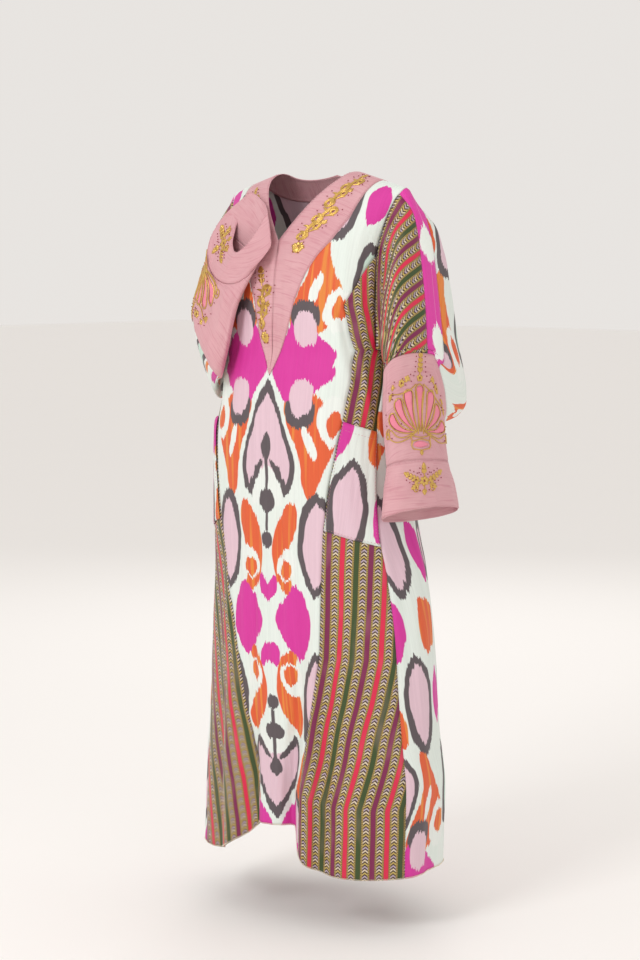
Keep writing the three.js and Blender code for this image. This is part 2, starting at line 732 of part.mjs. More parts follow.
function addMesh(name, geometry, finish) {
  const mesh = new THREE.Mesh(geometry, materials[finish]);
  mesh.name = name;
  dress.add(mesh);
}

const cloth = new Net();
addFront(cloth);
addGores(cloth);
addBack(cloth);
addNeckband(cloth, 'left');
addNeckband(cloth, 'right');
addSleeve(cloth, 'left', LEFT_SLEEVE);
addSleeve(cloth, 'right', RIGHT_SLEEVE);

addMesh('front_panel', cloth.cut('front_panel'), 'ikat');
addMesh('back_panel', cloth.cut('back_panel'), 'ikat');
for (const which of ['left', 'right']) {
  addMesh(`side_gore_${which}`, cloth.cut(`side_gore_${which}`), 'stripes');
  addMesh(`neckband_${which}`, cloth.cut(`neckband_${which}`), 'rose');
  addMesh(`sleeve_back_${which}`, cloth.cut(`sleeve_back_${which}`), 'ikat');
  addMesh(`sleeve_strip_${which}`, cloth.cut(`sleeve_strip_${which}`), 'magenta');
  addMesh(`sleeve_gore_${which}`, cloth.cut(`sleeve_gore_${which}`), 'stripes');
  addMesh(`lower_sleeve_${which}`, cloth.cut(`lower_sleeve_${which}`), 'rose');
  addMesh(`cuff_${which}`, cloth.cut(`cuff_${which}`), 'rose');
  addMesh(`pocket_${which}`, pocketGeometry(which), 'ikat');
}

export default dress;
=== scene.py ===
"""Looks of the ikat dress: its cloth, folds, weave, goldwork, beads and stitches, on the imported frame."""

import math

import bmesh
import bpy
import numpy as np
from bpy.props import FloatProperty, FloatVectorProperty, PointerProperty
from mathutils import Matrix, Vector


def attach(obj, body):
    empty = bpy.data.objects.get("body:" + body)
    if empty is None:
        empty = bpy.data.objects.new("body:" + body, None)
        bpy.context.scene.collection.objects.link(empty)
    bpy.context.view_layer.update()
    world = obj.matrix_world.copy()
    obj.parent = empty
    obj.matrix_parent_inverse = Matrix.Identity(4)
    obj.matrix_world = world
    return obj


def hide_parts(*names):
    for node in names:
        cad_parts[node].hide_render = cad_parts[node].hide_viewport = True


bl_info = {
    "name": "Ikat dress",
    "version": (1, 0, 0),
    "blender": (4, 5, 0),
    "location": "3D View > Sidebar > Dress",
    "description": "Makes the cloth, goldwork and stitching of a worn ikat dress",
    "category": "Object",
}

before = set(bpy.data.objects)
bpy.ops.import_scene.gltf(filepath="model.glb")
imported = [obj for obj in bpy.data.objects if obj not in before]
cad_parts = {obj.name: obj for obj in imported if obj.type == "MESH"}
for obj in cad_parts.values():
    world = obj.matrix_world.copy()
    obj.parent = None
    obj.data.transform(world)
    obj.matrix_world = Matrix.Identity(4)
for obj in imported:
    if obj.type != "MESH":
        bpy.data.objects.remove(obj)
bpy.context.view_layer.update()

# ---------------------------------------------------------------- driving sizes, in millimetres

MM = 0.001
HEM = -1370.0
UNDERARM = -342.0
V_TIP = -395.0               # the point of the neckband's outer edge
V_BOTTOM = -149.0            # the bottom of the open neck
NECK_RIDGE = 30.0            # height of the shoulders' ridge, carried on to the middle
SHOULDER_FALL = 0.27         # how far the ridge falls for each millimetre outwards
SHOULDER_ROUND = 2.5
NECK_HALF = 97.0             # half widths of the neck and of the band at the shoulder
BAND_HALF = 168.0
BACK_NECK = -27.4            # heights of the neck and of the band at the centre back
BACK_BAND = -68.4
HEM_RISE_FROM = -1000.0
STRIP_FRONT = -15.0          # the magenta strip's edges meet the armhole at these heights
STRIP_BACK = -26.2
FRONT_ARC = 145.0            # degrees of a sleeve's round that are its front
UNDER_ARC = 70.0             # and its underside
POCKET_LIFT = 4.0            # from the gore to the outside of a pocket
POCKET_SAG = 2.2             # how far a pocket's mouth stands off
MM_PER_DEGREE = 3.3          # round the body, for the width of a crease
SLEEVE_MM_PER_DEGREE = 1.15
SLEEVE_MM_PER_RING = 55.0
FLOOR = -1.482               # in metres
FLOOR_HALF = 30              # in metres

BODY_CELL = 6.5              # size of the cloth's faces
SLEEVE_CELL = 5.0
SLEEVE_TURN = 3.2            # degrees between a sleeve's columns
ARMHOLE_STEPS = 60           # points down the front of an armhole
ARMHOLE_CLOSE = 40           # how many of them are drawn up to the shoulder
UNDER_STEPS = (7, 11)        # points under the arm, on the side gore and on the back panel
GROUND_STEPS = 160
MERGE = 2e-5                 # in metres, as the next one
SLIVER = 1e-6

GORE_TURN = -253.0           # height of the point where a gore's front seam turns to the armhole
GORE_POINT_ACROSS = 152.0
GORE_SLOPE = 0.2135
# Where a piece's cut lies on its cloth: metres across and along
POCKET_LAY = {"left": (0.08, 0.285), "right": (0.06, 0.285)}
SLEEVE_LAY = {("sleeve_back", "left"): (0.06, 0.4), ("sleeve_back", "right"): (0.1, 0.3)}

# Turn and ring, on the sleeve, of the middle of a basket's foot and of a cuff's flower
BASKET_PLACE = {"left": (22.0, 7.72), "right": (325.0, 8.5)}
CUFF_PLACE = {"left": (19.0, 8.85), "right": (305.0, 10.4)}
# Half of the band, the vine's foot, the height at which it has its full width, and its length
BAND_PLACES = [("left", -162, -110, 195), ("right", -330, -250, 150), ("right", -110, -60, 110)]
BAND_SCALE = 1.25
BASKET_SCALE = {"left": 1.14, "right": 0.95}
CUFF_SCALE = 1.2
CORD_LIFT = 0.8              # from the cloth to the middle of a cord
CORD_STEP = 1.5
LEAF_FULLNESS = 1.35
LEAF_HEIGHT = 1.5
SILK_HEIGHT = 0.9
SILK_MARGIN = 1.4            # from a plume's cord to its silk
BEAD_SINK = 0.8              # height of a bead's middle, in its radii
STITCH_LIFT = 0.3

# The studio, in metres and degrees
CAMERA_TURN = 42.0
CAMERA_FAR = 4.52
CAMERA_HEIGHT = -0.16
CAMERA_LENS = 84.75
CAMERA_AIM = (0, 0, -0.61)
STUDIO_AIM = (0, 0, -0.6)
# Name, watts, size and place
STUDIO_LIGHTS = [
    ("key_light", 52, 1.3, (0.2, -3.6, 1.7)),
    ("fill_light", 14, 2.5, (4.4, -1.6, 0.6)),
    ("back_light", 24, 2.0, (-2.6, 3.4, 1.4)),
]
SKY_COLOUR = (0.85, 0.82, 0.79, 1)
SKY_STRENGTH = 0.95


# ---------------------------------------------------------------- what a user would change

def paint(name, red, green, blue):
    """A colour property; its default is given as on a colour card, 0 to 255."""
    values = [v / 255 for v in (red, green, blue)]
    linear = [v / 12.92 if v <= 0.04045 else ((v + 0.055) / 1.055) ** 2.4 for v in values]
    return FloatVectorProperty(name=name, description=f"Colour: {name.lower()}", subtype="COLOR", size=3,
                               min=0, max=1, default=linear)


def measure(name, description, millimetres):
    return FloatProperty(name=name, description=description, default=millimetres * MM, min=0, precision=4,
                         subtype="DISTANCE", unit="LENGTH")


class DressColours(bpy.types.PropertyGroup):
    ground: paint("Ikat ground", 240, 246, 240)
    mint: paint("Ikat mint", 206, 232, 218)
    magenta: paint("Ikat magenta", 218, 38, 156)
    pink: paint("Ikat pink", 232, 84, 182)
    orange: paint("Ikat orange", 230, 96, 48)
    amber: paint("Ikat amber", 238, 150, 58)
    blush: paint("Ikat blush", 232, 200, 212)
    charcoal: paint("Ikat charcoal", 92, 82, 86)
    thread_shadow: paint("Shade between threads", 176, 170, 178)
    plum: paint("Stripe plum", 122, 20, 74)
    crimson: paint("Stripe crimson", 214, 26, 70)
    green: paint("Stripe green", 52, 72, 24)
    old_gold: paint("Border gold", 146, 118, 50)
    # The lit border gold paints highlights on the gold borders, and is also one of the chevrons' own colours
    bright_gold: paint("Border gold, lit", 202, 178, 104)
    dark_thread: paint("Dark thread", 58, 38, 44)
    cream: paint("Chevron cream", 228, 212, 190)
    lilac: paint("Chevron lilac", 190, 172, 190)
    rose: paint("Rose cloth", 216, 164, 170)
    rose_deep: paint("Rose cloth, deep thread", 190, 118, 132)
    rose_light: paint("Rose cloth, light thread", 236, 200, 202)
    # The lit shades of the gold thread, the pink silk and the beads are painted highlights
    gilt: paint("Gold thread", 176, 128, 48)
    gilt_highlight: paint("Gold thread, lit", 236, 202, 120)
    silk: paint("Pink silk filling", 224, 92, 132)
    silk_highlight: paint("Pink silk filling, lit", 240, 156, 172)
    bead: paint("Maroon bead", 112, 18, 40)
    bead_highlight: paint("Maroon bead, lit", 160, 44, 66)
    pale_thread: paint("Pale sewing thread", 240, 232, 214)
    floor: paint("Floor", 252, 250, 248)


class DressSizes(bpy.types.PropertyGroup):
    cloth: measure("Cloth thickness", "Thickness of each shell of cloth", 1.4)
    seam_dip: measure("Seam dip", "How far an edge sinks into its seam", 1.2)
    thread: measure("Ikat thread", "Width of one bundle of dyed threads", 1.5)
    feather: measure("Ikat feather", "How far neighbouring threads slip past each other", 11)
    edge: measure("Ikat edge", "How softly a shape ends across the threads", 1.6)
    stripe: measure("Stripe unit", "Width of one unit of the striped brocade", 28)
    cord: measure("Gold cord", "Radius of the couched gold cord", 1.15)
    bead_size: measure("Bead", "Radius of a bead", 1.25)
    stitch: measure("Stitch", "Length of one stitch", 4.0)
    stitch_gap: measure("Stitch spacing", "From one stitch to the next", 6.5)
    sewing: measure("Sewing thread", "Radius of the sewing thread", 0.35)


def table(columns, rows):
    """Rows of numbers as named columns."""
    values = np.array(rows, float).T
    return dict(zip(columns.split(), values))


SECTIONS = table("height left right front back full", [
    (-1370, 280, 284, 168, 172, 2.0), (-1200, 288, 278, 164, 174, 2.0),
    (-1100, 276, 270, 160, 168, 2.0), (-900, 262, 258, 154, 162, 2.05),
    (-780, 242, 252, 150, 158, 2.1), (-700, 219, 248, 150, 154, 2.2),
    (-620, 209, 247, 150, 150, 2.2), (-520, 207, 240, 153, 142, 2.25),
    (-450, 206, 218, 152, 136, 2.3), (-395, 206, 207, 149, 129, 2.35),
    (-342, 205, 205, 140, 120, 2.4),
])
ARMHOLE = table("height across", [(-342, 195), (-246, 191), (-149, 191), (-77, 203), (-31, 215), (0, 224)])
BAND_EDGE = table("height across", [
    (-395, 0), (-312, 38), (-248, 55), (-200, 75), (-160, 98), (-131, 120), (-80, 148), (-12, 165), (0, 168),
])
NECK_EDGE = table("height across", [(-149, 0), (-85.5, 45), (-17.4, 90), (0, 97)])
GORE_POINT = table("height across", [(-342, 171), (-315, 165), (-280, 158), (-253, 152), (-222, 166), (-149, 191)])
SEAMS = table("height left_back left_front centre right_front right_back", [
    (-1370, 10.5, 62, 79, 98, 155), (-1231, 11, 62, 79.5, 102, 157), (-1108, 11, 57, 82, 109, 160),
    (-941, 12.5, 48.5, 87.5, 121, 162), (-811, 14, 47.5, 91, 133, 164), (-700, 16, 46.5, 92, 144, 165),
    (-592, 16, 42, 92, 148, 166), (-472, 15, 34.5, 91.5, 151, 168), (-395, 11, 30, 90, 152, 171),
    (-342, 8, 27.5, 90, 152.5, 172),
])
HEM_RISE = table("angle rise", [
    (40, 0), (50, 8), (58, 22), (62, 40), (67, 84), (80, 88), (98, 85), (112, 48), (130, 14), (150, 0),
])
# Hanging folds: where they start, their angle there and at the hem, their spread and depth (+ is out).
FOLDS = [
    (-640, 46, 60, 6, 16), (-640, 56, 69, 7, -34), (-600, 36, 48, 6, -15), (-760, 22, 28, 9, 8),
    (-700, 112, 103, 7, -20), (-660, 136, 122, 9, 12), (-620, 150, 139, 7, -16), (-820, -6, -6, 8, -14),
    (-760, -24, -26, 10, 12), (-560, -52, -47, 8, -20), (-640, -70, -68, 9, 14), (-520, -92, -94, 10, -22),
    (-700, -116, -118, 9, 15), (-620, -136, -140, 8, -17), (-780, -162, -166, 9, 9),
]
# Creases of the body: angle and height at both ends, width in millimetres, depth (+ is out).
CREASES = [
    (74, -420, 66, -900, 9, 2.2), (81, -470, 76, -1120, 11, -3.2), (88, -640, 84, -1340, 8, 2.4),
    (100, -430, 108, -800, 10, 2.6), (106, -520, 104, -1250, 9, -2.8), (117, -600, 112, -1200, 8, 2.0),
    (64, -330, 72, -560, 12, -2.4), (52, -260, 60, -470, 9, 2.6), (40, -250, 32, -420, 8, 4.2),
    (34, -270, 26, -410, 7, -4.6), (28, -300, 20, -460, 7, 3.4), (95, -300, 120, -410, 14, 2.0),
    (128, -300, 140, -420, 10, -3.0), (140, -280, 152, -430, 8, 3.4), (136, -560, 130, -900, 9, 2.6),
    (144, -640, 138, -1050, 7, -2.6), (50, -720, 54, -1330, 7, 2.8), (42, -760, 46, -1300, 8, -3.0),
    (30, -820, 34, -1350, 9, 2.6), (18, -560, 14, -980, 9, 3.2), (8, -600, 4, -1240, 11, -3.4),
    (-4, -480, -14, -900, 9, 3.0), (-16, -700, -18, -1350, 8, -2.6), (-34, -420, -38, -980, 12, 3.6),
    (-44, -620, -40, -1330, 8, -2.8), (-60, -380, -58, -900, 11, 3.0), (-76, -700, -80, -1360, 8, -3.0),
    (-84, -360, -88, -760, 13, 3.2), (-102, -400, -104, -1000, 10, -3.4), (-110, -820, -108, -1360, 7, 2.8),
    (-126, -380, -130, -860, 11, 3.2), (-146, -560, -150, -1300, 9, -3.0), (-158, -420, -160, -900, 10, 2.8),
    (-172, -700, -176, -1340, 8, -2.4), (-28, -220, -40, -400, 10, -3.4), (-150, -220, -138, -420, 9, -3.8),
    (-70, -90, -110, -120, 10, 1.6), (-50, -160, -64, -330, 11, 2.2), (-132, -150, -118, -320, 12, 2.4),
]
# Rings of the sleeves, each through its outer, front, inner and back point.
RINGS = {
    "left": {
        "upper": [
            ((250, 1, -75), (230, -71, -208), (212, 2, -352), (232, 88, -214)),
            ((266, 0, -114), (240, -87, -236), (215, 2, -366), (241, 98, -244)),
            ((277, 0, -176), (247, -94, -274), (216, 4, -382), (247, 104, -286)),
            ((289, 0, -270), (254, -97, -322), (218, 4, -400), (256, 113, -366)),
            ((294, -1, -338), (257, -97, -356), (219, 3, -412), (262, 134, -458)),
            ((295, -2, -350), (256, -96, -366), (220, 2, -422), (262, 66, -486)),
        ],
        "lower": [
            ((292, -4, -445), (254, -92, -455), (219, -2, -498), (259, 66, -516)),
            ((299, -8, -550), (258, -86, -556), (221, -8, -574), (262, 70, -566)),
        ],
        "cuff": [
            ((306, -10, -596), (259, -95, -606), (221, -10, -626), (268, 81, -613)),
            ((312, -12, -640), (262, -104, -656), (222, -12, -676), (272, 92, -662)),
        ],
    },
    "right": {
        "upper": [
            ((-246, -8, -80), (-222, -76, -206), (-209, -3, -348), (-232, 72, -214)),
            ((-258, -16, -146), (-232, -82, -236), (-212, -10, -352), (-242, 66, -262)),
            ((-266, -30, -216), (-238, -82, -258), (-213, -22, -356), (-250, 52, -324)),
            ((-264, -49, -266), (-238, -78, -268), (-213, -40, -358), (-246, 18, -384)),
            ((-252, -72, -300), (-236, -76, -270), (-211, -64, -362), (-241, -48, -446)),
            ((-258, -97, -271), (-208, -100, -312), (-137, -141, -404), (-177, -160, -345)),
        ],
        "lower": [
            ((-240, -100, -215), (-188, -110, -272), (-110, -150, -352), (-150, -164, -290)),
            ((-208, -112, -170), (-158, -109, -206), (-80, -151, -258), (-122, -168, -226)),
            ((-185, -106, -104), (-120, -109, -131), (-32, -148, -180), (-140, -154, -206)),
        ],
        "cuff": [
            ((-156, -95, -72), (-86, -114, -94), (4, -148, -142), (-126, -150, -180)),
            ((-119, -80, -36), (-76, -92, -48), (-21, -130, -72), (-92, -151, -152)),
        ],
    },
}
# Creases of the sleeves: turn and ring at both ends, width in millimetres, depth (+ is out).
SLEEVE_CREASES = {
    "left": [
        (60, 1.2, 100, 4.6, 8, -2.6), (96, 1.0, 122, 4.4, 9, 3.2), (20, 2.0, 60, 5.0, 9, 2.0),
        (118, 1.6, 138, 5.2, 8, -3.0), (146, 2.0, 156, 6.0, 9, 2.4), (330, 1.4, 300, 4.6, 12, 2.6),
        (286, 1.8, 262, 4.9, 10, -3.4), (240, 1.6, 252, 5.0, 9, 3.0), (215, 2.4, 232, 5.6, 9, -2.6),
        (96, 6.2, 110, 7.8, 8, -2.4), (124, 6.1, 116, 8.0, 8, 2.6), (40, 6.3, 30, 7.6, 9, 1.6),
        (250, 6.2, 268, 7.9, 9, -2.6), (200, 6.2, 190, 7.8, 10, 2.2), (84, 8.2, 78, 10.0, 9, -2.0),
        (290, 8.2, 300, 10.0, 10, 2.4), (150, 8.3, 146, 10.0, 9, 1.8), (336, 6.4, 344, 7.8, 9, -1.8),
    ],
    "right": [
        (330, 2.0, 322, 5.0, 8, 2.8), (298, 2.2, 290, 5.4, 8, -3.2), (256, 2.4, 250, 5.6, 8, 2.6),
        (40, 2.2, 30, 5.4, 8, -2.2), (84, 2.0, 90, 5.0, 8, 2.0), (300, 6.3, 322, 8.8, 8, 3.2),
        (276, 6.2, 286, 8.6, 8, -3.4), (250, 6.4, 240, 8.8, 7, 2.6), (226, 6.2, 216, 8.4, 8, -2.2),
        (60, 6.4, 70, 8.6, 9, 1.6), (262, 9.2, 256, 10.8, 7, 2.4), (292, 9.1, 306, 10.6, 7, -2.6),
        (230, 9.3, 224, 10.8, 7, -1.8), (334, 9.2, 340, 10.8, 7, 1.6),
    ],
}
POCKETS = {"left": (-478, -500, -690, -722), "right": (-484, -500, -690, -716)}
SIDE = {"left": 1.0, "right": -1.0}


# ---------------------------------------------------------------- the form of the body

def smooth_step(low, high, value):
    t = np.clip((value - low) / (high - low), 0, 1)
    return t * t * (3 - 2 * t)


def follow(rows, key, column, at):
    """A smooth curve through a table's column, with each row's mean slope."""
    x, y = rows[key], rows[column]
    if x[0] > x[-1]:
        x, y = x[::-1], y[::-1]
    step = np.diff(y) / np.diff(x)
    slope = np.zeros_like(y)
    product = step[:-1] * step[1:]
    total = np.where(step[:-1] + step[1:] == 0, 1, step[:-1] + step[1:])
    slope[1:-1] = np.where(product <= 0, 0, 2 * product / total)
    at = np.clip(at, x[0], x[-1])
    i = np.clip(np.searchsorted(x, at) - 1, 0, len(x) - 2)
    width = x[i + 1] - x[i]
    t = (at - x[i]) / width
    t2, t3 = t * t, t * t * t
    return (y[i] * (2 * t3 - 3 * t2 + 1) + y[i + 1] * (3 * t2 - 2 * t3)
            + width * (slope[i] * (t3 - 2 * t2 + t) + slope[i + 1] * (t3 - t2)))


def along(rows, column, height):
    """A straight-sided line through a table's column, for seams with corners."""
    x, y = rows["height"], rows[column]
    return np.interp(height, x, y) if x[0] < x[-1] else np.interp(height, x[::-1], y[::-1])


def crease_depth(creases, first, second, first_mm, second_mm):
    """Height of the creases at a place given by two running measures."""
    depth = np.zeros(np.broadcast(first, second).shape)
    for a0, b0, a1, b1, width, size in creases:
        run = np.array([(a1 - a0) * first_mm, (b1 - b0) * second_mm])
        p, q = (first - a0) * first_mm, (second - b0) * second_mm
        share = np.clip((p * run[0] + q * run[1]) / (run @ run), 0, 1)
        off = np.hypot(p - share * run[0], q - share * run[1])
        taper = 1 - (2 * share - 1) ** 4 * 0.75
        depth += size * taper * np.exp(-(off / width) ** 2)
    return depth


def turned(angle, centre):
    return (angle - centre + 540) % 360 - 180


def fold_depth(angle, height):
    depth = 0
    for top, top_angle, hem_angle, spread, size in FOLDS:
        down = smooth_step(top, HEM, height)
        centre = top_angle + (hem_angle - top_angle) * down
        depth = depth + size * down * np.exp(-(turned(angle, centre) / spread) ** 2)
    return depth


def ripple(angle, height):
    """Slight unevenness of hanging cloth."""
    return (0.7 * np.sin(angle * 0.31 + height * 0.011) + 0.5 * np.sin(angle * 0.83 - height * 0.019 + 1.3)
            + 0.35 * np.sin(angle * 1.7 + height * 0.031 + 0.4))


def body_crease(angle, height):
    near = turned(angle, 0)
    hang = smooth_step(-30, -160, height)
    return (crease_depth(CREASES, near, height, MM_PER_DEGREE, 1.0) + ripple(near, height)) * hang


def superellipse(angle, height):
    c, s = np.cos(np.radians(angle)), np.sin(np.radians(angle))
    read = {name: follow(SECTIONS, "height", name, height) for name in ("left", "right", "front", "back", "full")}
    width = np.where(c >= 0, read["left"], read["right"])
    depth = np.where(s >= 0, read["front"], read["back"])
    full = read["full"]
    reach = ((np.abs(c) / width) ** full + (np.abs(s) / depth) ** full) ** (-1 / full)
    return reach + fold_depth(angle, height), c, s


def skirt_point(angle, height):
    reach, c, s = superellipse(angle, height)
    rise = follow(HEM_RISE, "angle", "rise", angle % 360) * smooth_step(HEM_RISE_FROM, HEM, height)
    return np.stack([reach * c, -reach * s, height + rise], -1)


def angle_across(across, height, face):
    """The angle of the point a given distance across, on the front (+1) or the back (-1)."""
    level = np.minimum(height, UNDERARM)
    armhole = follow(ARMHOLE, "height", "across", np.maximum(height, UNDERARM))
    scale = np.where(height > UNDERARM, ARMHOLE["across"][0] / armhole, 1.0)
    x = np.abs(across) * scale
    left, right = [follow(SECTIONS, "height", name, level) for name in ("left", "right")]
    width = np.where(across >= 0, left, right)
    depth = follow(SECTIONS, "height", "front" if face > 0 else "back", level)
    full = follow(SECTIONS, "height", "full", level)
    y = depth * np.maximum(0, 1 - (x / width) ** full) ** (1 / full)
    angle = np.degrees(np.arctan2(y, x))
    return face * np.where(across >= 0, angle, 180 - angle)


def chest_point(angle, height):
    base = skirt_point(angle, np.full(np.shape(angle), UNDERARM))
    climb = (height - UNDERARM) / -UNDERARM
    armhole = follow(ARMHOLE, "height", "across", height)
    x = base[..., 0] / ARMHOLE["across"][0] * armhole
    ridge = NECK_RIDGE - SHOULDER_FALL * np.abs(x)
    turn = np.sqrt(np.maximum(0, 1 - np.clip(climb, 0, 1) ** SHOULDER_ROUND))
    return np.stack([x, base[..., 1] * turn, UNDERARM + (ridge - UNDERARM) * climb], -1)


def body_point(angle, height, creased=True):
    angle, height = np.broadcast_arrays(np.asarray(angle, float), np.asarray(height, float))
    low = skirt_point(angle, np.minimum(height, UNDERARM))
    high = chest_point(angle, np.maximum(height, UNDERARM))
    place = np.where((height <= UNDERARM)[..., None], low, high)
    if creased:
        out = np.stack([np.cos(np.radians(angle)), -np.sin(np.radians(angle)), np.zeros(angle.shape)], -1)
        place = place + out * body_crease(angle, height)[..., None]
    return place


# ---------------------------------------------------------------- seams

def gore_front(which, height):
    if height <= UNDERARM:
        return float(along(SEAMS, f"{which}_front", height))
    return float(angle_across(SIDE[which] * along(GORE_POINT, "across", height), height, 1))


def gore_back(which, height):
    return float(along(SEAMS, f"{which}_back", height))


def armhole_angle(which, height, face):
    across = SIDE[which] * follow(ARMHOLE, "height", "across", np.float64(height))
    angle = float(angle_across(across, height, face))
    return angle + (360 if which == "right" and face < 0 else 0)


def centre_angle(height):
    return float(along(SEAMS, "centre", height)) if height <= UNDERARM else 90.0


def band_edge(which, height):
    return float(angle_across(SIDE[which] * along(BAND_EDGE, "across", height), height, 1))


def arm_line(which, height):
    """Front line through the armhole's lowest point, which parts the side gore in two lanes."""
    if height >= UNDERARM:
        return armhole_angle(which, height, 1)
    back, front = gore_back(which, UNDERARM), gore_front(which, UNDERARM)
    share = (armhole_angle(which, UNDERARM, 1) - back) / (front - back)
    return gore_back(which, height) + (gore_front(which, height) - gore_back(which, height)) * share


def back_arm_line(which, height):
    centre = -90.0 if which == "left" else 270.0
    if height >= UNDERARM:
        return armhole_angle(which, height, -1)
    back = gore_back(which, UNDERARM)
    share = (armhole_angle(which, UNDERARM, -1) - back) / (centre - back)
    return gore_back(which, height) + (centre - gore_back(which, height)) * share


def back_band_edge(which, height):
    if height < BACK_BAND:
        return -90.0 if which == "left" else 270.0
    across = SIDE[which] * BAND_HALF * math.cos(math.asin(min(1.0, height / BACK_BAND)))
    return float(angle_across(across, height, -1)) + (360 if which == "right" else 0)


def column_angles(start, stop, height, columns):
    """Angles between two edges: even by angle round the skirt, even by width over the chest."""
    t = np.linspace(0, 1, columns + 1)
    if height <= UNDERARM:
        return start + (stop - start) * t
    ends = body_point(np.array([start, stop]), height, creased=False)[:, 0]
    face = 1 if math.sin(math.radians((start + stop) / 2)) > 0 else -1
    angles = angle_across(ends[0] + (ends[1] - ends[0]) * t, np.full(columns + 1, height), face)
    return angles + (360 if start > 180 or stop > 200 else 0) * (angles < 0)


# ---------------------------------------------------------------- cloth as grids of points

class Patch:
    """A grid of points with its place in the cut, in metres: across (u) and along the warp (v)."""

    def __init__(self, points, across, length, flip=False):
        self.points, self.across, self.length, self.flip = points, across, length, flip


def run_lengths(points, axis):
    steps = np.linalg.norm(np.diff(points, axis=axis), axis=-1)
    pad = [(0, 0), (0, 0)]
    pad[axis] = (1, 0)
    return np.pad(np.cumsum(steps, axis=axis), pad)


def body_rows(low, high):
    return np.linspace(low, high, max(2, round((high - low) / BODY_CELL)) + 1)


def warp_length(heights, face):
    """Length of the cloth from the hem up to each height, down the middle of the body."""
    fine = np.linspace(HEM, 0, 400)
    line = body_point(np.full(400, 90.0 * face), fine, creased=False)
    run = np.concatenate([[0], np.cumsum(np.linalg.norm(np.diff(line, axis=0), axis=1))])
    run += UNDERARM - HEM - np.interp(UNDERARM, fine, run)
    run[fine <= UNDERARM] = fine[fine <= UNDERARM] - HEM
    return np.interp(heights, fine, run)


def lane(heights, edges, columns, face, zero=0):
    """Cloth between edges, each a function of height. The edge numbered zero is where u is 0."""
    rows = []
    for height in heights:
        marks = [edge(height) for edge in edges]
        angles = [column_angles(a, b, height, n)[(0 if k == 0 else 1):]
                  for k, (a, b, n) in enumerate(zip(marks, marks[1:], columns))]
        rows.append(np.concatenate(angles))
    angles = np.array(rows)
    level = np.repeat(heights[:, None], angles.shape[1], 1)
    points = body_point(angles, level)
    run = run_lengths(points, 1)
    start = sum(columns[:zero])
    across = run[:, start:start + 1] - run
    length = np.repeat(warp_length(heights, face)[:, None], angles.shape[1], 1)
    return Patch(points * MM, across * MM, length * MM)


def front_edge(which):
    """Outer edge of the front: the side gore's seam, then the armhole."""
    return lambda height: gore_front(which, height) if height <= V_BOTTOM else armhole_angle(which, height, 1)


FRONT_COLUMNS = 24
BACK_COLUMNS = 34
GORE_COLUMNS = (9, 16)
BACK_SIDE_COLUMNS = 14
SKIRT_ROWS = body_rows(HEM, V_TIP)
TIP_ROWS = body_rows(V_TIP, UNDERARM)
CHEST_ROWS = body_rows(UNDERARM, V_BOTTOM)
TOP_ROWS = V_BOTTOM * (1 - np.linspace(0, 1, 26)) ** 1.8    # closer together towards the shoulder


def beside_band(patch, heights, half_widths, sign):
    """Carries the cut's across measure on from the band's edge, which stands off the middle."""
    patch.across = patch.across + sign * half_widths(heights)[:, None] * MM
    return patch


def front_patches():
    skirt = lane(SKIRT_ROWS, [front_edge("left"), centre_angle, front_edge("right")],
                 [FRONT_COLUMNS, FRONT_COLUMNS], 1, zero=1)
    patches = [skirt]

    def half(heights):
        return along(BAND_EDGE, "across", heights)

    for rows in (TIP_ROWS, CHEST_ROWS, TOP_ROWS):
        left = lane(rows, [front_edge("left"), lambda h: band_edge("left", h)], [FRONT_COLUMNS], 1, zero=1)
        right = lane(rows, [lambda h: band_edge("right", h), front_edge("right")], [FRONT_COLUMNS], 1)
        patches += [beside_band(left, rows, half, 1), beside_band(right, rows, half, -1)]
    return patches


def gore_patches(which):
    low = np.concatenate([SKIRT_ROWS, TIP_ROWS[1:]])
    all_rows = np.concatenate([low, CHEST_ROWS[1:]])
    side, fore = GORE_COLUMNS

    def back(height):
        return gore_back(which, height)

    def arm(height):
        return arm_line(which, height)

    def front(height):
        return gore_front(which, height)

    # The stripes run with the front seam below its point, and straight on above it
    above = np.maximum(all_rows - GORE_TURN, 0)
    spare = np.where(above > 0, along(GORE_POINT, "across", all_rows) - GORE_POINT_ACROSS + GORE_SLOPE * above, 0)
    if which == "left":
        ahead = lane(all_rows, [arm, front], [fore], 1, zero=1)
        ahead.across += spare[:, None] * MM
        aside = lane(low, [back, arm], [side], 1, zero=1)
        aside.across += ahead.across[:len(low), :1]
    else:
        ahead = lane(all_rows, [front, arm], [fore], 1)
        ahead.across -= spare[:, None] * MM
        aside = lane(low, [arm, back], [side], 1)
        aside.across += ahead.across[:len(low), -1:]
    return [aside, ahead]


def back_patches():
    low = np.concatenate([SKIRT_ROWS, TIP_ROWS[1:]])
    turns = np.linspace(90, 0, 22)[1:]
    high = np.concatenate([body_rows(UNDERARM, BACK_BAND), BACK_BAND * np.sin(np.radians(turns))])

    def half(heights):
        share = np.clip(heights / BACK_BAND, 0, 1)
        return np.where(heights > BACK_BAND, BAND_HALF * np.sqrt(1 - share ** 2), 0)

    patches = []
    for which in ("left", "right"):
        def centre(height, which=which):
            return -90.0 if which == "left" else 270.0

        def arm(height, which=which):
            return back_arm_line(which, height)

        def seam(height, which=which):
            return gore_back(which, height)

        def band(height, which=which):
            return back_band_edge(which, height)

        if which == "left":
            patches.append(lane(low, [centre, arm, seam], [BACK_COLUMNS, BACK_SIDE_COLUMNS], -1))
            patches.append(beside_band(lane(high, [band, arm], [BACK_COLUMNS], -1), high, half, -1))
        else:
            patches.append(lane(low, [seam, arm, centre], [BACK_SIDE_COLUMNS, BACK_COLUMNS], -1, zero=2))
            patches.append(beside_band(lane(high, [arm, band], [BACK_COLUMNS], -1, zero=1), high, half, 1))
    return patches


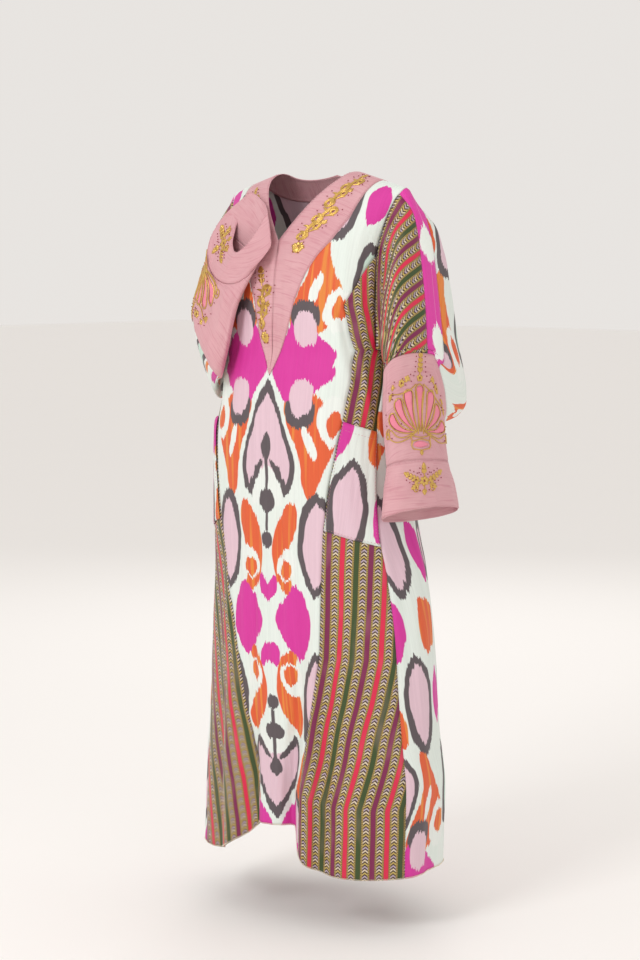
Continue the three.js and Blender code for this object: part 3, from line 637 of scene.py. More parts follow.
def band_front_point(which, height, share):
    """A point of the neckband before the shoulder; share is 0 at its outer edge and 1 at the neck."""
    height = np.asarray(height, float)
    neck = np.where(height < V_BOTTOM, 0, along(NECK_EDGE, "across", height))
    edge = along(BAND_EDGE, "across", height)
    across = SIDE[which] * (edge + (neck - edge) * share)
    return body_point(angle_across(across, height, 1), height)


def band_back_point(which, turn, share):
    """A point of the neckband behind the shoulder; the turn is 0 there and 90 at the centre back."""
    c, s = np.cos(np.radians(turn)), np.sin(np.radians(turn))
    across = (BAND_HALF + (NECK_HALF - BAND_HALF) * share) * c
    height = (BACK_BAND + (BACK_NECK - BACK_BAND) * share) * s
    return body_point(angle_across(SIDE[which] * across, height, -1), height)


def band_patches(which):
    share = np.linspace(0, 1, 13)[None, :]
    rows = np.concatenate([SKIRT_ROWS[-1:], TIP_ROWS[1:], CHEST_ROWS[1:], TOP_ROWS[1:]])[:, None]
    turns = np.linspace(90, 0, 30)[:, None]
    patches = []
    for points, back in (
        (band_front_point(which, rows + 0 * share, share + 0 * rows), False),
        (band_back_point(which, turns + 0 * share, share + 0 * turns), True),
    ):
        across, length = run_lengths(points, 1), run_lengths(points, 0)
        flip = (which == "right") != back
        patches.append(Patch(points * MM, across * MM, length * MM, flip))
    return patches


def pocket_point(which, u, v):
    """A point of a patch pocket: u from the front seam to the back one, v from the bottom to the mouth."""
    mouth_front, mouth_back, bottom_front, bottom_back = POCKETS[which]
    low = bottom_front + (bottom_back - bottom_front) * u
    high = mouth_front + (mouth_back - mouth_front) * u
    height = low + (high - low) * v
    front, back = along(SEAMS, f"{which}_front", height), along(SEAMS, f"{which}_back", height)
    angle = front + (back - front) * u
    turn = body_point(angle + 1, height) - body_point(angle - 1, height)
    rise = body_point(angle, height + 5) - body_point(angle, height - 5)
    out = np.cross(rise, turn)
    out /= np.linalg.norm(out, axis=-1, keepdims=True)
    sag = POCKET_SAG * np.sin(np.pi * u) * smooth_step(0.8, 1.0, v)
    return body_point(angle, height) + out * (POCKET_LIFT + sag)[..., None]


def lifted(points, lift):
    """Points on the body, moved a little outwards from its upright axis."""
    points[:, :2] *= 1 + lift / np.linalg.norm(points[:, :2], axis=1, keepdims=True)
    return points


def pocket_patches(which):
    u, v = np.meshgrid(np.linspace(0.02, 0.98, 30), np.linspace(0, 1, 38))
    points = pocket_point(which, u, v)
    return [Patch(points * MM, run_lengths(points, 1) * MM, run_lengths(points, 0) * MM, which == "left")]


def pocket_lines(which):
    """Stitch lines round a patch pocket, in metres."""
    t = np.linspace(0, 1, 60)
    lines = []
    level, across = 0 * t, 0.05 + 0.9 * t
    for u, v in ((0.05 + level, t), (0.95 + level, t), (across, 0.02 + level), (across, 0.93 + level)):
        lines.append(lifted(pocket_point(which, u, v), STITCH_LIFT) * MM)
    return lines


# ---------------------------------------------------------------- sleeves

class Sleeve:
    """A sleeve's surface: turn runs round it from the shoulder, ring runs down it from the armhole."""

    def __init__(self, which):
        self.which = which
        forms = RINGS[which]
        self.rings = np.array([*forms["upper"], *forms["lower"], *forms["cuff"]], float)
        self.seams = (len(forms["upper"]), len(forms["upper"]) + len(forms["lower"]), len(self.rings))
        front = np.linspace(0, UNDERARM, ARMHOLE_STEPS)
        front[1:ARMHOLE_CLOSE] = UNDERARM * np.linspace(0, 1, ARMHOLE_STEPS)[1:ARMHOLE_CLOSE] ** 1.6
        front = np.sort(front)[::-1]
        places = [body_point(armhole_angle(which, h, 1), h) for h in front]
        counts = [len(places)]
        marks = [armhole_angle(which, UNDERARM, 1), gore_back(which, UNDERARM), back_arm_line(which, UNDERARM)]
        under = [angle for a, b, steps in zip(marks, marks[1:], UNDER_STEPS)
                 for angle in np.linspace(a, b, steps + 1)[1:]]
        places += [body_point(angle, UNDERARM) for angle in under]
        counts.append(len(places))
        places += [body_point(armhole_angle(which, h, -1), h) for h in front[::-1][1:]]
        places = np.array(places)
        run = np.concatenate([[0], np.cumsum(np.linalg.norm(np.diff(places, axis=0), axis=1))])
        a, b = run[counts[0] - 1], run[counts[1] - 1]
        self.turns = np.interp(run, [0, a, b, run[-1]], [0, FRONT_ARC, FRONT_ARC + UNDER_ARC, 360])
        self.armhole = places
        heights = np.concatenate([front, np.full(len(under), UNDERARM), front[::-1][1:]])
        n = counts[0]
        self.strip_front = float(np.interp(-STRIP_FRONT, -heights[:n], self.turns[:n]))
        self.strip_back = float(np.interp(STRIP_BACK, heights[counts[1]:], self.turns[counts[1]:]))
        self.gore_end = float(self.turns[n - 1 + UNDER_STEPS[0]])

    def ring_point(self, index, turn):
        outer, front, inner, back = self.rings[index]
        middle = (outer + inner) / 2
        c, s = np.cos(np.radians(turn))[..., None], np.sin(np.radians(turn))[..., None]
        aside = np.where(s >= 0, front - middle, back - middle)
        return middle + (outer - middle) * c + aside * np.abs(s)

    def place(self, turn, ring, creased=True):
        turn, ring = np.broadcast_arrays(np.asarray(turn, float), np.asarray(ring, float))
        turn = turn % 360.0
        line = [np.stack([np.interp(turn, self.turns, self.armhole[:, k]) for k in range(3)], -1)]
        line += [self.ring_point(i, turn) for i in range(len(self.rings))]
        line = np.array(line)
        i = np.clip(np.floor(ring).astype(int), 0, len(line) - 2)
        t = (ring - i)[..., None]
        near = [np.take_along_axis(line, np.clip(i + k, 0, len(line) - 1)[None, ..., None], 0)[0]
                for k in (-1, 0, 1, 2)]
        weights = [(-t + 2 * t * t - t ** 3) / 2, (2 - 5 * t * t + 3 * t ** 3) / 2,
                   (t + 4 * t * t - 3 * t ** 3) / 2, (t ** 3 - t * t) / 2]
        place = sum(w * p for w, p in zip(weights, near))
        if creased:
            place = place + self.out(turn, ring) * self.crease(turn, ring)[..., None]
        return place

    def out(self, turn, ring):
        around = self.place(turn + 2, ring, False) - self.place(turn - 2, ring, False)
        lower = np.minimum(ring + 0.05, len(self.rings))
        upper = np.maximum(ring - 0.05, 0)
        down = self.place(turn, lower, False) - self.place(turn, upper, False)
        out = np.cross(around, down) * (1 if self.which == "left" else -1)
        return out / np.maximum(np.linalg.norm(out, axis=-1, keepdims=True), 1e-9)

    def crease(self, turn, ring):
        size = crease_depth(SLEEVE_CREASES[self.which], turn, ring, SLEEVE_MM_PER_DEGREE, SLEEVE_MM_PER_RING)
        size = size + 0.5 * np.sin(turn * 0.11 + ring * 2.3) + 0.35 * np.sin(turn * 0.23 - ring * 3.9 + 1)
        return size * smooth_step(0, 0.8, ring)

    def patch(self, turns, first, last, across_is_round):
        """Cloth between two rings, with the width of its cut round the sleeve or down it."""
        line = self.place(np.full(60, turns.mean()), np.linspace(first, last, 60), False)
        steps = max(4, round(np.linalg.norm(line[1:] - line[:-1], axis=-1).sum() / SLEEVE_CELL))
        turn, ring = np.meshgrid(turns, np.linspace(first, last, steps + 1))
        points = self.place(turn, ring)
        round_run, down_run = run_lengths(points, 1) * MM, run_lengths(points, 0) * MM
        flip = self.which == "left"
        if across_is_round:
            return Patch(points * MM, round_run, -down_run, flip)
        return Patch(points * MM, down_run, round_run, flip)


# ---------------------------------------------------------------- meshes

def new_object(name, mesh):
    made = bpy.data.objects.new(name, mesh)
    bpy.context.scene.collection.objects.link(made)
    return made


def cloth_piece(name, patches, material, sizes):
    """A thin shell through the patches, which are merged where they meet, its edges sunk into the seams."""
    points, cuts, faces, base = [], [], [], 0
    for patch in patches:
        rows, columns = patch.points.shape[:2]
        points.append(patch.points.reshape(-1, 3))
        cuts.append(np.stack([patch.across, patch.length], -1).reshape(-1, 2))
        ids = base + np.arange(rows * columns).reshape(rows, columns)
        quad = np.stack([ids[:-1, :-1], ids[1:, :-1], ids[1:, 1:], ids[:-1, 1:]], -1).reshape(-1, 4)
        faces.append(quad[:, ::-1] if patch.flip else quad)
        base += rows * columns
    cuts = np.concatenate(cuts)
    mesh = bpy.data.meshes.new(name)
    mesh.from_pydata(np.concatenate(points).tolist(), [], np.concatenate(faces).tolist())
    layer = mesh.uv_layers.new(name="cut")
    corners = np.array([loop.vertex_index for loop in mesh.loops])
    layer.data.foreach_set("uv", cuts[corners].astype(np.float32).ravel())
    work = bmesh.new()
    work.from_mesh(mesh)
    bmesh.ops.remove_doubles(work, verts=work.verts, dist=MERGE)
    bmesh.ops.dissolve_degenerate(work, edges=work.edges, dist=SLIVER)
    work.normal_update()
    sunk = [(v, v.normal.copy()) for v in work.verts if v.is_boundary]
    for v, normal in sunk:
        v.co -= normal * sizes.seam_dip
    for face in work.faces:
        face.smooth = True
    work.to_mesh(mesh)
    work.free()
    mesh.materials.append(material)
    made = new_object(name, mesh)
    wall = made.modifiers.new("wall", "SOLIDIFY")
    wall.thickness = sizes.cloth
    wall.offset = -1
    return made


def plain_mesh(made):
    """Turns an object's evaluated result into its own mesh, without modifiers."""
    graph = bpy.context.evaluated_depsgraph_get()
    graph.update()
    mesh = bpy.data.meshes.new_from_object(made.evaluated_get(graph))
    mesh.name = made.name
    made.modifiers.clear()
    old = made.data
    made.data = mesh
    if old.users == 0:
        bpy.data.meshes.remove(old)
    return made


def wear(made, node):
    """Puts a finished piece of cloth in its CAD solid's place."""
    plain_mesh(made)
    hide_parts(node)
    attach(made, "root")


# ---------------------------------------------------------------- finishes

class Finish:
    """Builds one material's nodes. Numbers, colours and other nodes' outputs can all be given as inputs."""

    def __init__(self, name, **surface):
        self.material = bpy.data.materials.new(name)
        self.material.use_nodes = True
        self.tree = self.material.node_tree
        self.shader = self.tree.nodes["Principled BSDF"]
        for socket, value in surface.items():
            self.shader.inputs[socket.replace("_", " ")].default_value = value

    def node(self, kind, inputs=(), **settings):
        made = self.tree.nodes.new(kind)
        for name, value in settings.items():
            setattr(made, name, value)
        for key, value in dict(inputs).items():
            self.feed(made.inputs[key], value)
        return made

    def feed(self, socket, value):
        if isinstance(value, bpy.types.NodeSocket):
            self.tree.links.new(value, socket)
        elif socket.type == "RGBA" and len(value) == 3:
            socket.default_value = (*value, 1)
        else:
            socket.default_value = value

    def math(self, operation, a, b=0.0, c=0.0, clamp=False):
        return self.node("ShaderNodeMath", {0: a, 1: b, 2: c}, operation=operation, use_clamp=clamp).outputs[0]

    def mix(self, share, a, b, blend="MIX"):
        made = self.node("ShaderNodeMix", data_type="RGBA", blend_type=blend)
        for key, value in ((0, share), (6, a), (7, b)):
            self.feed(made.inputs[key], value)
        return made.outputs[2]

    def cut(self):
        """The cut's across and length, in metres."""
        place = self.node("ShaderNodeUVMap", uv_map="cut").outputs[0]
        parts = self.node("ShaderNodeSeparateXYZ", {0: place})
        return parts.outputs[0], parts.outputs[1]

    def vector(self, x, y, z=0.0):
        return self.node("ShaderNodeCombineXYZ", {0: x, 1: y, 2: z}).outputs[0]

    def noise(self, u, v, across, lengthwise, detail=2.0, seed=0.0):
        """Smooth noise, 0 to 1, with so many cells to the metre across and along."""
        place = self.vector(self.math("MULTIPLY", u, across), self.math("MULTIPLY", v, lengthwise), seed)
        return self.node("ShaderNodeTexNoise", {"Vector": place, "Scale": 1.0, "Detail": detail}).outputs[0]

    def threads(self, u, pitch, seed):
        """One random number, 0 to 1, for each thread lying across."""
        thread = self.math("FLOOR", self.math("DIVIDE", u, pitch))
        place = self.vector(thread, seed)
        return self.node("ShaderNodeTexWhiteNoise", {"Vector": place}, noise_dimensions="2D").outputs[0]

    def step(self, value, soft):
        """0 below zero and 1 above it, blurred over a short way."""
        return self.math("MULTIPLY_ADD", value, 1 / soft, 0.5, clamp=True)

    def curve(self, at, low, high, points, span):
        """A smooth line through (place, value) points, read at a place from low to high."""
        share = self.math("DIVIDE", self.math("SUBTRACT", at, low), high - low, clamp=True)
        made = self.node("ShaderNodeFloatCurve", {"Value": share})
        made.mapping.extend = "HORIZONTAL"
        line = made.mapping.curves[0]
        spare = 0.05 * span
        spots = [((p - low) / (high - low), (value + spare) / (span + 2 * spare)) for p, value in points]
        while len(line.points) < len(spots):
            line.points.new(0.5, 0.5)
        for point, spot in zip(line.points, spots):
            point.location = spot
            point.handle_type = "AUTO_CLAMPED"
        made.mapping.update()
        return self.math("MULTIPLY_ADD", made.outputs[0], span + 2 * spare, -spare)

    def bump(self, height, strength, distance):
        made = self.node("ShaderNodeBump", {"Height": height, "Strength": strength, "Distance": distance})
        self.feed(self.shader.inputs["Normal"], made.outputs[0])

    def weave(self, u, v, pitch):
        """Threads over and under, 0 to 1."""
        warp = self.math("SINE", self.math("MULTIPLY", u, 2 * math.pi / pitch))
        weft = self.math("SINE", self.math("MULTIPLY", v, 2 * math.pi / pitch))
        return self.math("MULTIPLY_ADD", self.math("MULTIPLY", warp, weft), 0.5, 0.5)


# Sizes of the weaves, in metres
RIB_PITCH = 0.0011
BROCADE_PITCH = 0.0012
SLUB_PITCH = 0.0014
WEAVE_DEPTH = 0.0004
SLUB_DEPTH = 0.0005

# Striped brocade: a unit runs from satin, at 0, to the middle of the chevron band, at 0.5
SATIN_EDGE = 0.17
OUTLINE = 0.175
DOT_ROW = 0.235
CHEVRON_EDGE = 0.30
DOT_PITCH = 0.0036           # in metres, as the next one
CHEVRON_PITCH = 0.0032

# White marks of the magenta strip, in metres
MARK_REPEAT = 0.095
MARK_ACROSS = 0.018
MARK_SPAN = 0.03
MARK_HALF_WIDTHS = [(0, 0), (0.052, 0), (0.062, 0.006), (0.078, 0.018), (0.095, 0.024)]

# The ikat's repeat, in millimetres but for its start and its wander, which are in metres
HALF_REPEAT = 510
HALF_WIDTH = 240
REPEAT_STRETCH = 1.002       # from the cut's length to the design's
REPEAT_START = 0.016         # how much of the design lies below the hem
REPEAT_MARGIN = 0.003        # the mirrored ends aren't read closer than this
WANDER_ALONG = 0.016
WANDER_ACROSS = 0.012
CLOSED = 4                   # a shape's edges cross by this much where it ends
# Its shapes, in millimetres: down the half repeat, then the left and right edge from the middle.
# The design is mirrored on both sides of the middle and at both ends of the half repeat.
IKAT_SHAPES = [
    ("orange", [(46, 76, 76), (62, 50, 112), (86, 44, 142), (112, 50, 158), (142, 62, 160), (172, 76, 150),
                (202, 84, 136), (232, 88, 126), (254, 94, 118), (270, 104, 104)]),
    ("white", [(58, 150, 150), (80, 130, 182), (104, 120, 192), (130, 124, 186), (152, 138, 164), (162, 148, 148)]),
    ("orange", [(90, 154, 154), (99, 143, 167), (115, 139, 171), (134, 145, 164), (143, 154, 154)]),
    ("white", [(118, 98, 98), (134, 88, 104), (156, 92, 112), (180, 104, 118), (196, 114, 114)]),
    ("magenta", [(0, 5, 142), (16, 8, 152), (32, 16, 142), (50, 28, 122), (70, 42, 102), (88, 56, 86),
                 (98, 70, 70)]),
    ("charcoal", [(62, 82, 82), (72, 54, 108), (90, 47, 116), (106, 49, 115), (120, 58, 108), (131, 82, 82)]),
    ("blush", [(30, 80, 80), (40, 62, 104), (60, 54, 110), (80, 56, 110), (98, 64, 102), (110, 83, 83)]),
    ("charcoal", [(22, 0, 0), (44, 0, 12), (80, 0, 28), (130, 0, 48), (180, 0, 66), (212, 0, 72), (240, 0, 66),
                  (260, 0, 48), (272, 0, 0)]),
    ("blush", [(46, 0, 0), (80, 0, 17), (130, 0, 37), (180, 0, 55), (208, 0, 60), (230, 0, 55), (248, 0, 40),
               (257, 0, 0)]),
    ("white", [(192, 0, 0), (212, 0, 15), (236, 0, 32), (262, 0, 42), (274, 0, 42), (284, 0, 0)]),
    ("charcoal", [(130, 0, 0), (144, 0, 9), (164, 0, 14), (182, 0, 9), (192, 0, 4), (330, 0, 4), (334, 0, 0)]),
    ("charcoal", [(184, 8, 8), (200, 11, 24), (218, 20, 36), (238, 32, 49), (252, 43, 43)]),
    ("charcoal", [(248, 0, 0), (257, 0, 16), (274, 0, 22), (291, 0, 15), (301, 0, 0)]),
    ("charcoal", [(330, 0, 0), (339, 0, 11), (351, 0, 14), (363, 0, 9), (369, 0, 0)]),
    ("magenta", [(416, 18, 18), (426, 10, 25), (442, 0, 25), (458, 0, 19), (470, 0, 0)]),
    ("charcoal", [(252, 122, 122), (272, 96, 146), (312, 82, 162), (362, 78, 164), (404, 84, 156), (436, 98, 140),
                  (464, 120, 120)]),
    ("blush", [(272, 122, 122), (290, 107, 138), (328, 94, 150), (364, 90, 152), (398, 95, 144), (424, 106, 132),
               (446, 121, 121)]),
    ("orange", [(266, 66, 66), (284, 46, 76), (306, 32, 78), (332, 20, 72), (352, 15, 64), (372, 13, 56),
                (392, 15, 46), (412, 19, 54), (432, 26, 62), (448, 38, 66), (458, 54, 54)]),
    ("white", [(360, 54, 54), (374, 38, 72), (392, 26, 74), (408, 24, 72), (424, 34, 60), (436, 48, 48)]),
    ("orange", [(384, 49, 49), (395, 37, 60), (410, 33, 63), (422, 39, 57), (431, 48, 48)]),
    ("magenta", [(430, 72, 72), (448, 60, 84), (468, 42, 94), (490, 24, 102), (510, 17, 104)]),
    ("charcoal", [(96, 192, 192), (120, 180, 206), (160, 176, 222), (200, 178, 230), (240, 184, 226),
                  (276, 200, 200)]),
    ("mint", [(124, 196, 196), (144, 190, 206), (172, 188, 214), (202, 190, 218), (232, 196, 212),
              (250, 204, 204)]),
    ("magenta", [(300, 190, 190), (330, 178, 212), (372, 174, 218), (408, 184, 210), (430, 196, 196)]),
    ("orange", [(10, 226, 226), (34, 216, 240), (66, 212, 244), (92, 220, 240), (112, 232, 232)]),
    ("white", [(36, 234, 234), (50, 228, 244), (74, 228, 244), (88, 236, 236)]),
    ("charcoal", [(296, 236, 236), (322, 226, 244), (372, 222, 244), (420, 228, 244), (440, 238, 238)]),
    ("blush", [(326, 238, 238), (342, 232, 244), (396, 232, 244), (414, 240, 240)]),
    ("orange", [(452, 158, 158), (470, 146, 196), (492, 140, 210), (510, 138, 214)]),
]


def rgb(colour):
    """A colour property as plain numbers, which a socket takes."""
    return tuple(colour)


def ikat_finish(colours, sizes):
    """Warp ikat: shapes whose edges run along the threads, each thread dyed a little out of step."""
    finish = Finish("warp_ikat", Roughness=0.62, Sheen_Weight=0.05, Sheen_Roughness=0.5)
    u, v = finish.cut()
    slip = finish.math("SUBTRACT", finish.threads(u, sizes.thread, 3.0), 0.5)
    lean = finish.math("SUBTRACT", finish.noise(u, v, 170, 3, 2.0, 1.0), 0.5)
    wide = finish.math("SUBTRACT", finish.noise(u, v, 16, 5, 1.0, 5.0), 0.5)
    wander = finish.math("MULTIPLY", wide, WANDER_ALONG)
    offset = finish.math("MULTIPLY_ADD", slip, sizes.feather * 0.5,
                         finish.math("MULTIPLY_ADD", lean, sizes.feather * 2.0, wander))
    sideways_noise = finish.math("SUBTRACT", finish.noise(u, v, 12, 14, 2.0, 9.0), 0.5)
    drift = finish.math("MULTIPLY", sideways_noise, WANDER_ACROSS)
    across = finish.math("PINGPONG", finish.math("ADD", u, drift), HALF_WIDTH * MM)
    down = finish.math("ADD", finish.math("MULTIPLY_ADD", v, REPEAT_STRETCH, REPEAT_START), offset)
    down = finish.math("PINGPONG", down, HALF_REPEAT * MM)
    down = finish.math("MINIMUM", finish.math("MAXIMUM", down, REPEAT_MARGIN), HALF_REPEAT * MM - REPEAT_MARGIN)
    dyes = {
        "white": rgb(colours.ground), "magenta": rgb(colours.magenta), "orange": rgb(colours.orange),
        "blush": rgb(colours.blush), "charcoal": rgb(colours.charcoal), "mint": rgb(colours.mint),
    }
    streak = finish.noise(u, v, 300, 4, 3.0, 7.0)
    amber_threads = finish.step(finish.math("SUBTRACT", finish.noise(u, v, 90, 2, 2.0, 11.0), 0.56), 0.08)
    warm = finish.math("MULTIPLY", amber_threads, 0.75)
    washed = finish.noise(u, v, 60, 2, 2.0, 13.0)
    cool = finish.math("MULTIPLY", finish.noise(u, v, 25, 2, 2.0, 2.0), 0.35)
    colour = finish.mix(cool, dyes["white"], dyes["mint"])
    for dye, rows in IKAT_SHAPES:
        lefts = [(row[0] * MM, (row[1] or -CLOSED) * MM) for row in rows]
        rights = [(row[0] * MM, (row[2] - 2 * CLOSED * (row[1] == row[2])) * MM) for row in rows]
        left, right = [finish.curve(down, 0, HALF_REPEAT * MM, line, HALF_WIDTH * MM) for line in (lefts, rights)]
        inside = finish.math("MULTIPLY", finish.step(finish.math("SUBTRACT", right, across), sizes.edge),
                             finish.step(finish.math("SUBTRACT", across, left), sizes.edge))
        tint = dyes[dye]
        if dye == "orange":
            tint = finish.mix(warm, tint, rgb(colours.amber))
        elif dye == "magenta":
            tint = finish.mix(finish.math("MULTIPLY", washed, 0.35), tint, rgb(colours.pink))
        colour = finish.mix(inside, colour, tint)
    shade = finish.mix(finish.math("MULTIPLY", streak, 0.32), colour, rgb(colours.thread_shadow), "MULTIPLY")
    finish.feed(finish.shader.inputs["Base Color"], shade)
    rib = finish.math("SINE", finish.math("MULTIPLY", v, 2 * math.pi / RIB_PITCH))
    height = finish.math("MULTIPLY_ADD", rib, 0.25, finish.math("MULTIPLY", streak, 0.8))
    finish.bump(height, 0.35, WEAVE_DEPTH)
    return finish.material


def stripes_finish(colours, sizes):
    """Brocade: satin stripes, gold borders with dark dots, and a fancy chevron band between them."""
    finish = Finish("striped_brocade", Roughness=0.42, Sheen_Weight=0.06)
    u, v = finish.cut()
    sway = finish.math("SUBTRACT", finish.noise(u, v, 6, 5, 1.0, 4.0), 0.5)
    place = finish.math("DIVIDE", finish.math("MULTIPLY_ADD", sway, 0.004, u), sizes.stripe)
    number = finish.math("FLOORED_MODULO", finish.math("FLOOR", place), 3.0)
    share = finish.math("FRACT", place)
    side = finish.math("PINGPONG", finish.math("SUBTRACT", share, 0.5), 0.5)
    first = finish.math("COMPARE", number, 1.0, 0.4)
    second = finish.math("COMPARE", number, 2.0, 0.4)
    fade = finish.noise(u, v, 30, 9, 2.0, 8.0)
    satin = finish.mix(second, finish.mix(first, rgb(colours.plum), rgb(colours.crimson)), rgb(colours.green))
    satin = finish.mix(finish.math("MULTIPLY", finish.step(finish.math("SUBTRACT", fade, 0.62), 0.2), 0.16),
                       satin, rgb(colours.rose))
    # A gold line each side of the chevron band, each with a row of dark dots
    dash = finish.math("SINE", finish.math("MULTIPLY", v, 2 * math.pi / DOT_PITCH))
    row = finish.math("ABSOLUTE", finish.math("SUBTRACT", side, DOT_ROW))
    dots = finish.math("MULTIPLY", finish.step(finish.math("SUBTRACT", dash, 0.1), 0.5),
                       finish.step(finish.math("SUBTRACT", 0.03, row), 0.02))
    # Painted highlights: the glint noise mixes the border gold towards its lit shade
    glint = finish.noise(u, v, 500, 900, 2.0, 6.0)
    gold = finish.mix(glint, rgb(colours.old_gold), rgb(colours.bright_gold))
    gold = finish.mix(finish.math("MULTIPLY", dots, 0.9), gold, rgb(colours.dark_thread))
    # Chevrons that point along the band, in three colours by turns
    middle = finish.math("SUBTRACT", 0.5, side)
    wave = finish.math("MULTIPLY_ADD", middle, sizes.stripe * 0.8, v)
    tooth = finish.math("PINGPONG", finish.math("DIVIDE", wave, CHEVRON_PITCH), 1.0)
    lit = finish.step(finish.math("SUBTRACT", tooth, 0.5), 0.25)
    turn = finish.math("FLOORED_MODULO", finish.math("FLOOR", finish.math("DIVIDE", wave, 2 * CHEVRON_PITCH)), 3.0)
    knot = finish.step(finish.math("SUBTRACT", finish.noise(u, v, 330, 520, 3.0, 12.0), 0.58), 0.08)
    pale = finish.mix(finish.math("COMPARE", turn, 1.0, 0.4), rgb(colours.cream), rgb(colours.lilac))
    pale = finish.mix(finish.math("COMPARE", turn, 2.0, 0.4), pale, rgb(colours.bright_gold))
    chevron = finish.mix(lit, rgb(colours.dark_thread), pale)
    chevron = finish.mix(finish.math("MULTIPLY", knot, 0.6), chevron, rgb(colours.old_gold))
    in_satin = finish.step(finish.math("SUBTRACT", SATIN_EDGE, side), 0.015)
    in_chevron = finish.step(finish.math("SUBTRACT", side, CHEVRON_EDGE), 0.015)
    colour = finish.mix(in_satin, finish.mix(in_chevron, gold, chevron), satin)
    edge = finish.math("ABSOLUTE", finish.math("SUBTRACT", side, OUTLINE))
    colour = finish.mix(finish.math("MULTIPLY", finish.step(finish.math("SUBTRACT", 0.012, edge), 0.012), 0.75),
                        colour, rgb(colours.dark_thread))
    finish.feed(finish.shader.inputs["Base Color"], colour)
    in_gold = finish.math("SUBTRACT", 1.0, in_satin)
    finish.feed(finish.shader.inputs["Metallic"], finish.math("MULTIPLY", in_gold, 0.3))
    raised = finish.math("MULTIPLY", in_gold, finish.math("ADD", lit, glint))
    finish.bump(finish.math("MULTIPLY_ADD", finish.weave(u, v, BROCADE_PITCH), 0.4, raised), 0.5, WEAVE_DEPTH)
    return finish.material


def magenta_finish(colours, sizes):
    """Magenta strip with a few white feathered marks."""
    finish = Finish("magenta_strip", Roughness=0.6, Sheen_Weight=0.1)
    u, v = finish.cut()
    slip = finish.math("MULTIPLY", finish.math("SUBTRACT", finish.threads(u, sizes.thread, 1.0), 0.5), sizes.feather)
    length = finish.math("PINGPONG", finish.math("ADD", finish.math("ADD", v, slip), 0.02), MARK_REPEAT)
    mark = finish.curve(length, 0, MARK_REPEAT, MARK_HALF_WIDTHS, MARK_SPAN)
    off_middle = finish.math("ABSOLUTE", finish.math("SUBTRACT", u, MARK_ACROSS))
    inside = finish.step(finish.math("SUBTRACT", mark, off_middle), 0.001)
    base = finish.mix(finish.math("MULTIPLY", finish.noise(u, v, 200, 4, 3.0, 2.0), 0.5), rgb(colours.magenta),
                      rgb(colours.pink))
    finish.feed(finish.shader.inputs["Base Color"], finish.mix(inside, base, rgb(colours.ground)))
    finish.bump(finish.weave(u, v, RIB_PITCH), 0.3, WEAVE_DEPTH)
    return finish.material


def rose_finish(colours, _sizes):
    """Dusty rose cloth with uneven slub threads lying across it."""
    finish = Finish("rose_slub", Roughness=0.7, Sheen_Weight=0.08, Sheen_Roughness=0.45)
    u, v = finish.cut()
    slub = finish.noise(u, v, 22, 620, 3.0, 1.0)
    thick = finish.step(finish.math("SUBTRACT", finish.noise(u, v, 16, 330, 2.0, 5.0), 0.6), 0.1)
    cloud = finish.noise(u, v, 9, 14, 3.0, 9.0)
    colour = finish.mix(slub, rgb(colours.rose), rgb(colours.rose_deep))
    colour = finish.mix(finish.math("MULTIPLY", cloud, 0.5), colour, rgb(colours.rose_light))
    colour = finish.mix(finish.math("MULTIPLY", thick, 0.42), colour, rgb(colours.rose_deep))
    finish.feed(finish.shader.inputs["Base Color"], colour)
    slubs = finish.math("MULTIPLY_ADD", thick, 0.5, slub)
    finish.bump(finish.math("MULTIPLY_ADD", finish.weave(u, v, SLUB_PITCH), 0.3, slubs), 0.45, SLUB_DEPTH)
    return finish.material


def thread_finish(name, low, high, **surface):
    """Wound or stitched thread, two shades twisted together. Where the second shade is a lit one, for the gold, the
    silk and the beads, the twist paints highlights.
    """
    finish = Finish(name, **surface)
    place = finish.node("ShaderNodeTexCoord").outputs["Object"]
    twist = finish.node("ShaderNodeTexNoise", {"Vector": place, "Scale": 900.0, "Detail": 2.0}).outputs[0]
    broad = finish.node("ShaderNodeTexNoise", {"Vector": place, "Scale": 60.0, "Detail": 1.0}).outputs[0]
    share = finish.math("MULTIPLY_ADD", twist, 0.7, finish.math("MULTIPLY", broad, 0.45), clamp=True)
    finish.feed(finish.shader.inputs["Base Color"], finish.mix(share, low, high))
    finish.bump(twist, 0.6, WEAVE_DEPTH)
    return finish.material


# ---------------------------------------------------------------- embroidery

class Ground:
    """Cloth under embroidery: lays design points, in millimetres right and up of an anchor, on the surface."""

    def __init__(self, place, out, anchor, reach, full_at=None):
        """The reach is v at the lower and the upper end, and a step of u. Widths are measured at full_at if given."""
        self.place, self.out, self.anchor = place, out, anchor
        u, v = anchor
        lower, upper, step_u = reach
        self.v = np.linspace(upper, lower, GROUND_STEPS)
        middle = np.full(GROUND_STEPS, float(u))
        line = place(middle, self.v)
        run = np.concatenate([[0], np.cumsum(np.linalg.norm(np.diff(line, axis=0), axis=1))])
        self.up = np.interp(v, self.v, run) - run
        side = place(middle + step_u, self.v) - place(middle - step_u, self.v)
        self.scale = 2 * step_u / np.linalg.norm(side, axis=1)
        if full_at is not None:
            self.scale[:] = np.interp(full_at, self.v, self.scale)
        normal = out(np.array([u]), np.array([v]))[0]
        rise = place(np.array([u]), np.array([v - 0.02]))[0] - place(np.array([u]), np.array([v + 0.02]))[0]
        here = place(np.array([u + step_u]), np.array([v]))[0] - place(np.array([u - step_u]), np.array([v]))[0]
        self.right = 1 if np.cross(rise, normal) @ here > 0 else -1

    def lay(self, points, lift):
        """Points (x, y) on the cloth, lifted from it; the result is in metres."""
        points = np.asarray(points, float)
        v = np.interp(-points[:, 1], -self.up, self.v)
        u = self.anchor[0] + self.right * points[:, 0] * np.interp(v, self.v, self.scale)
        lift = (np.asarray(lift, float) * np.ones(len(u)))[:, None]
        return (self.place(u, v) + self.out(u, v) * lift) * MM


